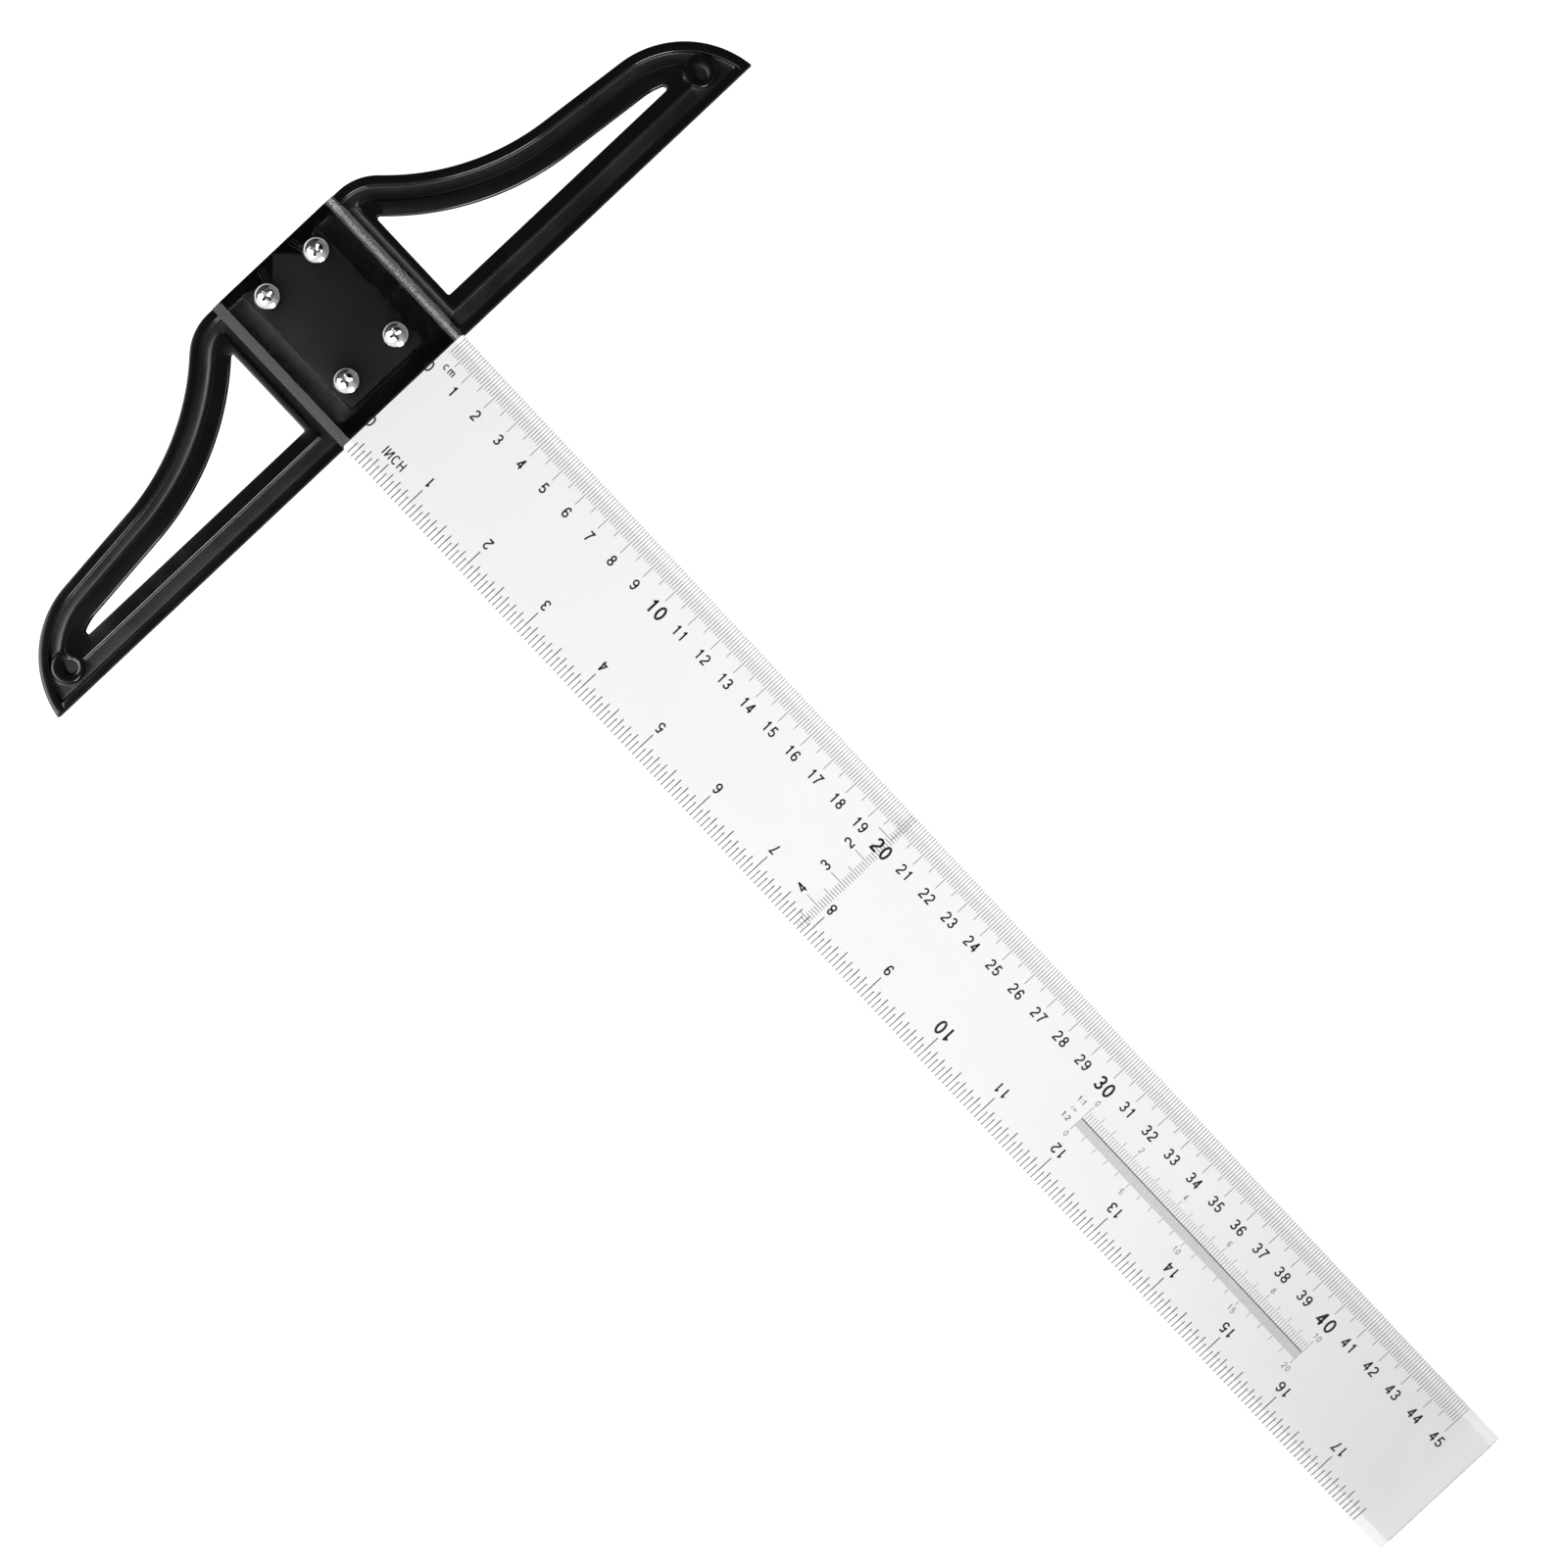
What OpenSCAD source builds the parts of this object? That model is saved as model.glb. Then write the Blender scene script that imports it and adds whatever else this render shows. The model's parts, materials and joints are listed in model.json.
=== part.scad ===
// Drafting T-square: a clear bevelled blade held by four screws and captive
// nuts on a moulded head with two open wings.
// Units are millimetres. +X runs along the blade away from the head, +Y runs
// along the head towards the centimetre edge, +Z is up.
// Origin: zero of the scales, on the blade's centre line, on its underside.

/* [Blade] */
// Width of the blade between its two ruling edges
blade_w = 50; // [41:0.5:64]
// Length of blade past the working edge of the head
blade_reach = 463; // [300:1:640]
// Thickness of the blade
blade_t = 2.4; // [2:0.1:3.5]
// Width of the bevel along each ruling edge
bevel_w = 3.3; // [1:0.1:6]
// Height of the square land below each bevel
edge_land = 0.8; // [0.4:0.1:1.4]

/* [Head outline] */
// Length of the head along the blade, back edge to working edge
head_h = 57.4; // [54:0.1:70]
// Distance from the blade's centre line to each wing tip
wing_reach = 143.9; // [122:0.1:180]
// Thickness of the head below the blade
head_t = 8; // [7.2:0.1:10]
// Gap between the blade's edge and the start of the shoulder curve
shoulder_gap = 2; // [0.5:0.1:4]
// Radius of the shoulder where a wing leaves the centre
shoulder_r = 17.8; // [14.8:0.1:22]
// Slope of the curved arm below its shoulder, in degrees from the head's length
shoulder_slope = 42.7; // [36:0.1:46]
// Straight stretch between the shoulder and the hollow of the arm
shoulder_run = 2.5; // [0.5:0.1:6]
// Radius of the hollow of the curved arm
hollow_r = 79.4; // [66:0.1:96]
// Slope of the arm's outer stretch, in degrees from the head's length
neck_slope = 5.9; // [3:0.1:9]
// Slope of the outline where it reaches the wing tip, in degrees
tip_slope = 81.6; // [74:0.1:88]

/* [Head frame] */
// Width of each curved arm
arm_w = 12.1; // [10:0.1:14.6]
// Width of the straight bar along the working edge
bar_w = 11.9; // [9.9:0.1:14.3]
// Width of head between the blade's edge and a wing opening
side_w = 4.8; // [3.8:0.1:7]
// Corner radius of the wing openings
opening_r = 0.7; // [0.3:0.1:1.5]
// Radius of the narrow end of each wing opening
opening_tip_r = 1; // [0.6:0.1:1.5]
// Depth of the working edge's relief under the blade
relief = 0.85; // [0.3:0.05:1.5]
// Distance from the blade's edge to the start of the relief's bevelled end
relief_inset = 1.2; // [0.5:0.1:3]

/* [Ribs and floors] */
// Width of the outer rim along a curved arm
rim_w = 3; // [2:0.1:3.6]
// Width of the outer rim along the working edge of a wing
bar_rim_w = 2.5; // [1.8:0.1:3]
// Width of the rim along the back edge under the blade
back_rim_w = 3.5; // [2.5:0.1:4.5]
// Width of the rim along the working edge under the blade
front_rim_w = 4.4; // [3:0.1:5]
// Width of the floor between that rim and the pad
channel_w = 1.8; // [1:0.1:2.4]
// Width of the rib round an opening, along the arm and the bar
ring_w = 4.4; // [3.4:0.1:5.3]
// Width of the rib between an opening and the blade
side_ring_w = 2; // [1.4:0.1:2.8]
// Depth of the floors below the rims, on the top and on the underside
floor_depth = 2.5; // [1:0.1:3]
// Distance from the screws out to each side of the raised pad under them
pad_margin = 5; // [4.6:0.1:7]
// Corner radius of the pad
pad_r = 1.5; // [0.8:0.1:3]
// Radius of the round boss inside each wing tip
boss_r = 4.9; // [4.2:0.1:5.4]
// Distance from the wing tip back to the boss's centre, along the head
boss_back = 12.6; // [11:0.1:15]
// Offset of the boss towards the working edge from the middle of the rib
boss_shift = 0.5; // [0:0.1:1]
// Radius of the round side of the hollow in each boss
pocket_r = 2.2; // [1.6:0.1:2.6]
// Distance from the hollow's centre to its pointed corner
pocket_reach = 4.1; // [3:0.1:4.4]

/* [Screws and nuts] */
// Screw spacing across the blade
screw_pitch = 20.3; // [16:0.1:25]
// Distance from the working edge to the front pair of screws
screw_front = 14.1; // [11.7:0.1:17]
// Distance from the back edge to the rear pair of screws
screw_back = 8.7; // [8.2:0.1:11]
// Outside diameter of the screw thread
screw_d = 4; // [3:0.1:4.4]
// Depth of each nut and screw end inside the head's underside
nut_inset = 0.4; // [0:0.1:0.8]
// Diameter of the pan head
pan_d = 8; // [6.6:0.1:9.6]
// Height of the pan head
pan_h = 3.1; // [2.6:0.1:3.8]
// Radius of the pan head's crown
crown_r = 6.5; // [5.5:0.1:9]
// Length of each arm of the cross recess, tip to tip
recess_span = 4; // [3.6:0.1:5]
// Width of the slots of the cross recess
recess_w = 1; // [0.7:0.1:1.2]
// Depth of the cross recess
recess_depth = 2; // [1.2:0.1:2.4]
// Width of a nut across its flats
nut_af = 7; // [5.8:0.1:8.4]
// Thickness of a nut
nut_t = 3.2; // [2.4:0.1:4]

/* [Fits] */
// Radial gap round a screw in the blade and the head
hole_gap = 0.3; // [0.3:0.05:0.5]
// Radial gap between a screw and its nut
thread_gap = 0.05; // [0.02:0.01:0.1]
// Gap between a nut's flats and its pocket
nut_gap = 0.1; // [0.05:0.01:0.2]

/* [Hidden] */

arc_step = 3;
round_fn = 64;
past = 1;
seam = 0.5;

blade_half = blade_w / 2;
side_y = blade_half + side_w;
shoulder_y = blade_half + shoulder_gap;

// The outline of a wing is a chain of tangent lines and arcs. A slope s has
// the heading [sin(s), cos(s)], and its inward side is [cos(s), -sin(s)].
shoulder_c = [shoulder_r - head_h, shoulder_y];
slope_p0 = shoulder_c + shoulder_r * [-cos(shoulder_slope), sin(shoulder_slope)];
slope_p1 = slope_p0 + shoulder_run * [sin(shoulder_slope), cos(shoulder_slope)];
hollow_c = slope_p1 + hollow_r * [-cos(shoulder_slope), sin(shoulder_slope)];
neck_p0 = hollow_c + hollow_r * [cos(neck_slope), -sin(neck_slope)];
tip_ratio = (sin(tip_slope) - sin(neck_slope)) / (cos(neck_slope) - cos(tip_slope));
neck_run = (wing_reach - neck_p0[1] + tip_ratio * neck_p0[0])
  / (cos(neck_slope) - tip_ratio * sin(neck_slope));
neck_p1 = neck_p0 + neck_run * [sin(neck_slope), cos(neck_slope)];
tip_r = -neck_p1[0] / (cos(neck_slope) - cos(tip_slope));
tip_c = neck_p1 + tip_r * [cos(neck_slope), -sin(neck_slope)];

// Slope at which the tip arc, set in by d, crosses the line x = -e.
function tip_end(d, e) = acos((tip_c[0] + e) / (tip_r - d));

function arc_pts(c, r, a0, a1) =
  let (n = max(2, ceil(abs(a1 - a0) / arc_step)))
  [for (i = [0:n]) c + r * [cos(a0 + (a1 - a0) * i / n), sin(a0 + (a1 - a0) * i / n)]];

// Curved side of a wing set in by d, from its hollow to slope q on the tip arc.
function arm_pts(d, q) = concat(
  arc_pts(hollow_c, hollow_r + d, -shoulder_slope, -neck_slope),
  arc_pts(tip_c, tip_r - d, 180 - neck_slope, 180 - q)
);

boss_c = [boss_shift + ring_w / 2 - bar_w, wing_reach - boss_back];
pocket_c = boss_c + [0.8, -0.7];
pad_half_w = screw_pitch / 2 + pad_margin;
pocket_lean = 8;
floor_z = -floor_depth;
floor_front = -relief - front_rim_w;
floor_back = back_rim_w - head_h;
screw_len = blade_t + head_t - nut_inset;
nut_seat_z = nut_inset + nut_t - head_t;

screw_at = [
  [screw_back - head_h, screw_pitch / 2],
  [-screw_front, screw_pitch / 2],
  [screw_back - head_h, -screw_pitch / 2],
  [-screw_front, -screw_pitch / 2]
];
screw_turn = [31, 76, 2, 60];
end_chamfer = screw_d / 8;

module both_wings() {
  children();
  mirror([0, 1]) children();
}

// Outline of the half at positive y, set in by d from the curved side and by e
// from the working edge, from the shoulder's start to the wing tip.
function half_pts(d, e) = concat(
  arc_pts(shoulder_c, shoulder_r - d, 180, 180 - shoulder_slope),
  arm_pts(d, tip_end(d, e))
);

// Region inside the whole outline, set in by d and by e.
module outline_region(d, e) {
  side = half_pts(d, e);
  last = len(side) - 1;
  polygon(concat(side, [for (i = [0:last]) [side[last - i][0], -side[last - i][1]]]));
}

// What lies beyond y0 of its children.
module beyond(y0) {
  intersection() {
    children();
    translate([-head_h - past, y0]) square([head_h + 2 * past, wing_reach]);
  }
}

// One wing opening, with its three corners rounded.
// Its narrow end is where its sides come close enough for its end radius, which
// is on the tip arc, or on the straight neck when the arm or the bar is wide.
module opening_region() {
  inset = arm_w + opening_tip_r;
  line_x = -bar_w - opening_tip_r;
  on_arc = tip_c[0] - line_x < (tip_r - inset) * cos(neck_slope);
  end_q = on_arc ? tip_end(inset, -line_x) : neck_slope;
  neck_at = neck_p1 + inset * [cos(neck_slope), -sin(neck_slope)];
  end_c = on_arc
    ? tip_c + (tip_r - inset) * [-cos(end_q), sin(end_q)]
    : neck_at + (line_x - neck_at[0]) * [1, 1 / tan(neck_slope)];
  corner_y = side_y + opening_r;
  slope_n = [cos(shoulder_slope), -sin(shoulder_slope)];
  slope_at = slope_p0 * slope_n + arm_w + opening_r;
  corner_x = (slope_at + sin(shoulder_slope) * corner_y) / cos(shoulder_slope);
  polygon(concat(
    arc_pts([-bar_w - opening_r, corner_y], opening_r, 0, -90),
    arc_pts([corner_x, corner_y], opening_r, 270, 180 - shoulder_slope),
    on_arc ? arm_pts(arm_w, end_q)
      : arc_pts(hollow_c, hollow_r + arm_w, -shoulder_slope, -neck_slope),
    arc_pts(end_c, opening_tip_r, 180 - end_q, 0)
  ));
}

// Rib round an opening, joined to the boss inside the wing tip.
module ring_region() {
  beyond(side_y - side_ring_w) outline_region(arm_w - ring_w, bar_w - ring_w);
  translate(boss_c) circle(r = boss_r, $fn = round_fn);
}

// Raised pad under the blade, running into the back rim.
module pad_region() {
  front = floor_front - channel_w;
  for (y = [-1, 1]) translate([front - pad_r, y * (pad_half_w - pad_r)])
    circle(r = pad_r, $fn = round_fn);
  translate([floor_back - seam, -pad_half_w])
    square([front - pad_r - floor_back + seam, 2 * pad_half_w]);
  translate([floor_back - seam, pad_r - pad_half_w])
    square([front - floor_back + seam, 2 * (pad_half_w - pad_r)]);
}

// Floor of one wing, between its rim and the rib round its opening.
module wing_floor_region() {
  difference() {
    beyond(blade_half - seam) outline_region(rim_w, bar_rim_w);
    ring_region();
  }
}

// Floor under the blade, on both sides of the pad.
module centre_floor_region() {
  difference() {
    translate([floor_back, -blade_half]) square([floor_front - floor_back, blade_w]);
    pad_region();
  }
}

module floor_region() {
  both_wings() wing_floor_region();
  centre_floor_region();
}

// Slight set-back of the working edge between the wings, with bevelled ends.
module relief_region() {
  y0 = blade_half - relief_inset;
  y1 = y0 + relief;
  polygon([
    [-relief, -y0], [-relief, y0], [0, y1],
    [past, y1], [past, -y1], [0, -y1]
  ]);
}

// Hollow in a boss: round on one side and drawn out to a corner on the other.
module pocket_region() {
  turn = 180 - acos(pocket_r / pocket_reach);
  translate(pocket_c) rotate(-pocket_lean)
    polygon(concat([[-pocket_reach, 0]], arc_pts([0, 0], pocket_r, -turn, turn)));
}

module head() color([0.03, 0.03, 0.032]) {
  difference() {
    translate([0, 0, -head_t]) linear_extrude(head_t) outline_region(0, 0);
    translate([0, 0, -head_t - past]) linear_extrude(head_t + 2 * past) {
      both_wings() opening_region();
      relief_region();
    }
    translate([0, 0, floor_z]) linear_extrude(floor_depth + past) {
      floor_region();
      both_wings() pocket_region();
    }
    translate([0, 0, -head_t - past]) linear_extrude(floor_depth + past) floor_region();
    for (p = screw_at) translate([p[0], p[1], 0]) {
      translate([0, 0, -head_t - past])
        cylinder(r = screw_d / 2 + hole_gap, h = head_t + 2 * past, $fn = round_fn);
      translate([0, 0, -head_t - past])
        cylinder(d = (nut_af + 2 * nut_gap) / cos(30), h = nut_seat_z + head_t + past, $fn = 6);
    }
  }
}

module blade() color([0.9, 0.93, 0.94, 0.35]) {
  difference() {
    translate([-head_h, 0, 0]) rotate([90, 0, 90])
      linear_extrude(head_h + blade_reach) polygon([
        [-blade_half, 0], [blade_half, 0], [blade_half, edge_land],
        [blade_half - bevel_w, blade_t], [bevel_w - blade_half, blade_t],
        [-blade_half, edge_land]
      ]);
    for (p = screw_at) translate([p[0], p[1], -past])
      cylinder(r = screw_d / 2 + hole_gap, h = blade_t + 2 * past, $fn = round_fn);
  }
}

// Pan head with a crowned top, on a shank whose end is chamfered.
module screw(i) color([0.75, 0.75, 0.77]) {
  r = screw_d / 2;
  translate([screw_at[i][0], screw_at[i][1], blade_t]) difference() {
    union() {
      intersection() {
        cylinder(d = pan_d, h = pan_h, $fn = round_fn);
        translate([0, 0, pan_h - crown_r]) sphere(r = crown_r, $fn = round_fn);
      }
      translate([0, 0, end_chamfer - screw_len])
        cylinder(r = r, h = screw_len - end_chamfer + seam, $fn = round_fn);
      translate([0, 0, -screw_len])
        cylinder(r1 = r - end_chamfer, r2 = r, h = end_chamfer, $fn = round_fn);
    }
    for (a = [0, 90]) rotate([0, 0, screw_turn[i] + a])
      translate([-recess_span / 2, -recess_w / 2, pan_h - recess_depth])
        cube([recess_span, recess_w, recess_depth + past]);
  }
}

// Hexagon nut with its corners chamfered on both faces.
module nut(i) color([0.72, 0.72, 0.74]) {
  corner_r = nut_af / 2 / cos(30);
  face_r = nut_af / 2 - nut_gap;
  slant = (corner_r - face_r) * tan(30);
  translate([screw_at[i][0], screw_at[i][1], nut_seat_z - nut_t]) difference() {
    intersection() {
      cylinder(r = corner_r, h = nut_t, $fn = 6);
      rotate_extrude($fn = round_fn) polygon([
        [0, 0], [face_r, 0], [corner_r, slant],
        [corner_r, nut_t - slant], [face_r, nut_t], [0, nut_t]
      ]);
    }
    translate([0, 0, -past])
      cylinder(r = screw_d / 2 + thread_gap, h = nut_t + 2 * past, $fn = round_fn);
  }
}

head();
blade();
screw(0);  // screw_1
screw(1);  // screw_2
screw(2);  // screw_3
screw(3);  // screw_4
nut(0);  // nut_1
nut(1);  // nut_2
nut(2);  // nut_3
nut(3);  // nut_4
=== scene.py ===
"""Drafting T-square: looks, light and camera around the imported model."""
import json
import logging
import math
from dataclasses import dataclass, field
from enum import IntEnum

import bpy
import numpy as np
from mathutils import Matrix, Vector
from mathutils.geometry import delaunay_2d_cdt


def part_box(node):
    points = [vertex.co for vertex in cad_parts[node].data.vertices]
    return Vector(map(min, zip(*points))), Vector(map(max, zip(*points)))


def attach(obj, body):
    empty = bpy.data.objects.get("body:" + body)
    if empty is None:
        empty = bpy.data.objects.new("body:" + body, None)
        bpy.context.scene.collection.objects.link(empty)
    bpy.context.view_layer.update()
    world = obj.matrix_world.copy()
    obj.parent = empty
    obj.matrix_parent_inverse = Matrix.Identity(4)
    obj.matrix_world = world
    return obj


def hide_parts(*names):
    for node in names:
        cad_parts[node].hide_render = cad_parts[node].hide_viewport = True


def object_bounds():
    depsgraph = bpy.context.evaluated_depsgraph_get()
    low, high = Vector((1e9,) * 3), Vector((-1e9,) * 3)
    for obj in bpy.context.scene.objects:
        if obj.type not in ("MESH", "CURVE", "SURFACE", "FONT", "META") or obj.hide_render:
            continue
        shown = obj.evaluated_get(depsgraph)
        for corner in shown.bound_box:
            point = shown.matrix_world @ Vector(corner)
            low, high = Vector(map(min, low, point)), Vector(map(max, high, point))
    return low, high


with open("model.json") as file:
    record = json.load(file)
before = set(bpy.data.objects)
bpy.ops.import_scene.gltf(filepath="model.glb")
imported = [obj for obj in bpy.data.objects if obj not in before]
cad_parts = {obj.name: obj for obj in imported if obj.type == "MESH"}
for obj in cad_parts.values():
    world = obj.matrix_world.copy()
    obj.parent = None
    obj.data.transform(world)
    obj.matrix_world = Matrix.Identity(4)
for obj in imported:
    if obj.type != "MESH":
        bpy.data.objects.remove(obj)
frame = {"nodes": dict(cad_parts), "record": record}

LOG = logging.getLogger("t_square")
MM = 0.001
TINY = 1e-12
CHUNK = 4000  # points handled at a time, to keep the arrays small
CAD_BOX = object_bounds()
Points = np.ndarray


class HeadSlot(IntEnum):
    """The finishes of the head, by material slot."""

    RIB = 0
    FLOOR = 1
    SIDE = 2
    PAD = 3


# ---------------------------------------------------------------- helpers

def linear(hex_code: str) -> tuple[float, float, float, float]:
    """Linear colour of an sRGB hex value: each channel c becomes ((c + 0.055) / 1.055) ** 2.4.

    Args:
        hex_code: colour such as "1a1a1c".

    Returns:
        Red, green, blue and an alpha of one.
    """
    channels = [int(hex_code[i:i + 2], 16) / 255 for i in (0, 2, 4)]
    turned = [c / 12.92 if c <= 0.04045 else ((c + 0.055) / 1.055) ** 2.4 for c in channels]
    return (turned[0], turned[1], turned[2], 1.0)


def add_node(tree: bpy.types.NodeTree, kind: str, settings: dict | None = None,
             links: dict | None = None) -> bpy.types.Node:
    """Adds one node with its settings and links.

    Args:
        tree: the node tree.
        kind: the node's type name.
        settings: node properties by name, or socket values by socket name.
        links: output sockets by the name or index of the input that they feed.

    Returns:
        The new node.
    """
    node = tree.nodes.new(kind)
    for name, value in (settings or {}).items():
        if hasattr(node, name):
            setattr(node, name, value)
        else:
            node.inputs[name].default_value = value
    for name, source in (links or {}).items():
        tree.links.new(source, node.inputs[name])
    return node


def new_material(name: str) -> tuple[bpy.types.Material, bpy.types.NodeTree, bpy.types.Node]:
    """Starts a material whose tree holds only a shader and an output.

    Args:
        name: the material's name.

    Returns:
        The material, its tree, and its Principled shader linked to the output.
    """
    material = bpy.data.materials.new(name)
    material.use_nodes = True
    tree = material.node_tree
    tree.nodes.clear()
    output = add_node(tree, "ShaderNodeOutputMaterial")
    shader = add_node(tree, "ShaderNodeBsdfPrincipled")
    tree.links.new(shader.outputs["BSDF"], output.inputs["Surface"])
    return material, tree, shader


def arc(centre: Points, radius: float, start: float, end: float, step: float = 1.5) -> Points:
    """Points of a circular arc: centre plus radius times (cos a, sin a).

    Args:
        centre: x and y of the centre.
        radius: radius, in the units of the centre.
        start: first angle in degrees.
        end: last angle in degrees.
        step: largest angle between points, in degrees.

    Returns:
        N by 2 positions.
    """
    count = max(2, math.ceil(abs(end - start) / step)) + 1
    a = np.radians(np.linspace(start, end, count))
    return np.asarray(centre) + radius * np.stack([np.cos(a), np.sin(a)], axis=1)


def line(start: tuple[float, float], end: tuple[float, float], step: float = 1.0) -> Points:
    """Evenly spaced points: start plus a growing share of (end - start).

    Args:
        start: x and y of the first point.
        end: x and y of the last point.
        step: largest distance between points.

    Returns:
        N by 2 positions.
    """
    a, b = np.array(start, float), np.array(end, float)
    count = max(1, math.ceil(float(np.hypot(*(b - a))) / step)) + 1
    return a + (b - a) * np.linspace(0, 1, count)[:, None]


def distance_to(points: Points, path: Points, closed: bool = False) -> Points:
    """Least distance from each point to a polyline, by projecting on each segment and clamping.

    Args:
        points: N by 2 positions.
        path: M by 2 corners of the polyline.
        closed: whether the last corner joins the first.

    Returns:
        N distances.
    """
    a = path if closed else path[:-1]
    b = np.roll(path, -1, axis=0) if closed else path[1:]
    run = b - a
    length2 = np.maximum((run ** 2).sum(1), TINY)
    out = np.empty(len(points))
    for i in range(0, len(points), CHUNK):
        p = points[i:i + CHUNK, None, :]
        t = np.clip(((p - a) * run).sum(2) / length2, 0, 1)
        gap = p - (a + t[..., None] * run)
        out[i:i + CHUNK] = np.sqrt((gap ** 2).sum(2).min(1))
    return out


def inside(points: Points, loop: Points) -> Points:
    """Whether each point is in a closed loop, by counting the edges crossed to its right.

    Args:
        points: N by 2 positions.
        loop: M by 2 corners, the first not repeated.

    Returns:
        N truth values.
    """
    a, b = loop, np.roll(loop, -1, axis=0)
    rise = np.where(np.abs(b[:, 1] - a[:, 1]) < TINY, TINY, b[:, 1] - a[:, 1])
    out = np.empty(len(points), bool)
    for i in range(0, len(points), CHUNK):
        x, y = points[i:i + CHUNK, None, 0], points[i:i + CHUNK, None, 1]
        spans = (a[:, 1] > y) != (b[:, 1] > y)
        cross = a[:, 0] + (y - a[:, 1]) * (b[:, 0] - a[:, 0]) / rise
        out[i:i + CHUNK] = (np.sum(spans & (x < cross), axis=1) % 2) == 1
    return out


def mesh_object(name: str, verts: Points, faces: Points, material: bpy.types.Material,
                smooth_angle: float | None = None, face_slots: Points | None = None,
                more_materials: tuple = ()) -> bpy.types.Object:
    """Puts arrays in a new mesh object at the origin.

    Args:
        name: object name.
        verts: N by 3 positions in metres.
        faces: M by 3 or M by 4 corner numbers.
        material: material of slot 0.
        smooth_angle: edges sharper than this, in degrees, stay sharp; None leaves flat faces.
        face_slots: material slot of each face.
        more_materials: materials of slots 1 and up.

    Returns:
        The object, linked in the scene.
    """
    mesh = bpy.data.meshes.new(name)
    mesh.from_pydata(verts.tolist(), [], faces.tolist())
    for one in (material, *more_materials):
        mesh.materials.append(one)
    if face_slots is not None:
        mesh.polygons.foreach_set("material_index", face_slots.astype(np.int32))
    if smooth_angle is not None:
        mesh.polygons.foreach_set("use_smooth", np.ones(len(faces), bool))
        mesh.set_sharp_from_angle(angle=math.radians(smooth_angle))
    mesh.update()
    obj = bpy.data.objects.new(name, mesh)
    bpy.context.scene.collection.objects.link(obj)
    return obj


class Relief:
    """A closed body whose top and underside are heights over one flat region.

    The region is cut in triangles that follow given rows, so a wall, a fillet or a crease
    lies between two rows, and the rim of the region is closed with upright faces.
    """

    merge_mm = 1e-4

    def __init__(self, loops: list[Points], rows: list[Points]) -> None:
        """Triangulates the region.

        Args:
            loops: the outer loop, then the loops of the holes, in mm.
            rows: open polylines in the region that its edges follow, in mm.
        """
        parts, edges, start = [], [], 0
        for path, closed in [(p, True) for p in loops] + [(p, False) for p in rows]:
            index = np.arange(start, start + len(path))
            pair = np.stack([index, np.roll(index, -1)], axis=1)
            edges.append(pair if closed else pair[:-1])
            parts.append(path)
            start += len(path)
        flat = np.concatenate(parts)
        links = [tuple(e) for e in np.concatenate(edges).tolist()]
        corners = [Vector(p) for p in flat.tolist()]
        made = delaunay_2d_cdt(corners, links, [], 0, self.merge_mm)
        self.xy = np.array([(p[0], p[1]) for p in made[0]])
        tris = np.array([f for f in made[2] if len(f) == 3])
        middle = self.xy[tris].mean(axis=1)
        keep = inside(middle, loops[0])
        for hole in loops[1:]:
            keep &= ~inside(middle, hole)
        self.tris = tris[keep]
        used, packed = np.unique(self.tris, return_inverse=True)
        self.xy, self.tris = self.xy[used], packed.reshape(-1, 3)
        ends = np.concatenate([self.tris[:, [0, 1]], self.tris[:, [1, 2]], self.tris[:, [2, 0]]])
        key = np.sort(ends, axis=1)
        _, back, count = np.unique(key, axis=0, return_inverse=True, return_counts=True)
        self.rim = ends[count[back.ravel()] == 1]

    def solid(self, top: Points, under: Points) -> tuple[Points, Points]:
        """Closes the body between its two heights.

        Args:
            top: height of the top at each point, in mm.
            under: height of the underside at each point, in mm.

        Returns:
            Vertices in metres, and the triangles of the top, of the underside and of the rim.
        """
        n = len(self.xy)
        verts = np.concatenate([np.column_stack([self.xy, top]),
                                np.column_stack([self.xy, under])]) * MM
        a, b = self.rim[:, 0], self.rim[:, 1]
        walls = np.concatenate([np.stack([b, a, a + n], axis=1), np.stack([b, a + n, b + n], axis=1)])
        return verts, np.concatenate([self.tris, self.tris[:, ::-1] + n, walls])


def runs(path: Points, keep: Points) -> list[Points]:
    """The stretches of a path whose points are all kept, each of two points or more."""
    edge = np.flatnonzero(np.diff(np.concatenate([[0], keep.astype(np.int8), [0]])))
    return [path[a:b] for a, b in zip(edge[::2], edge[1::2]) if b - a > 1]


def mirrored(rows: list[Points]) -> list[Points]:
    """The rows and their images across the blade's centre line."""
    return rows + [row * [1, -1] for row in rows]


def rounded(t: Points, radius: float) -> Points:
    """Drop of a rounded edge at a distance t in from it: r minus the circle's height."""
    u = np.clip(radius - t, 0, radius)
    return radius - np.sqrt(np.maximum(radius ** 2 - u ** 2, 0))


# ---------------------------------------------------------------- finishes

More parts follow.
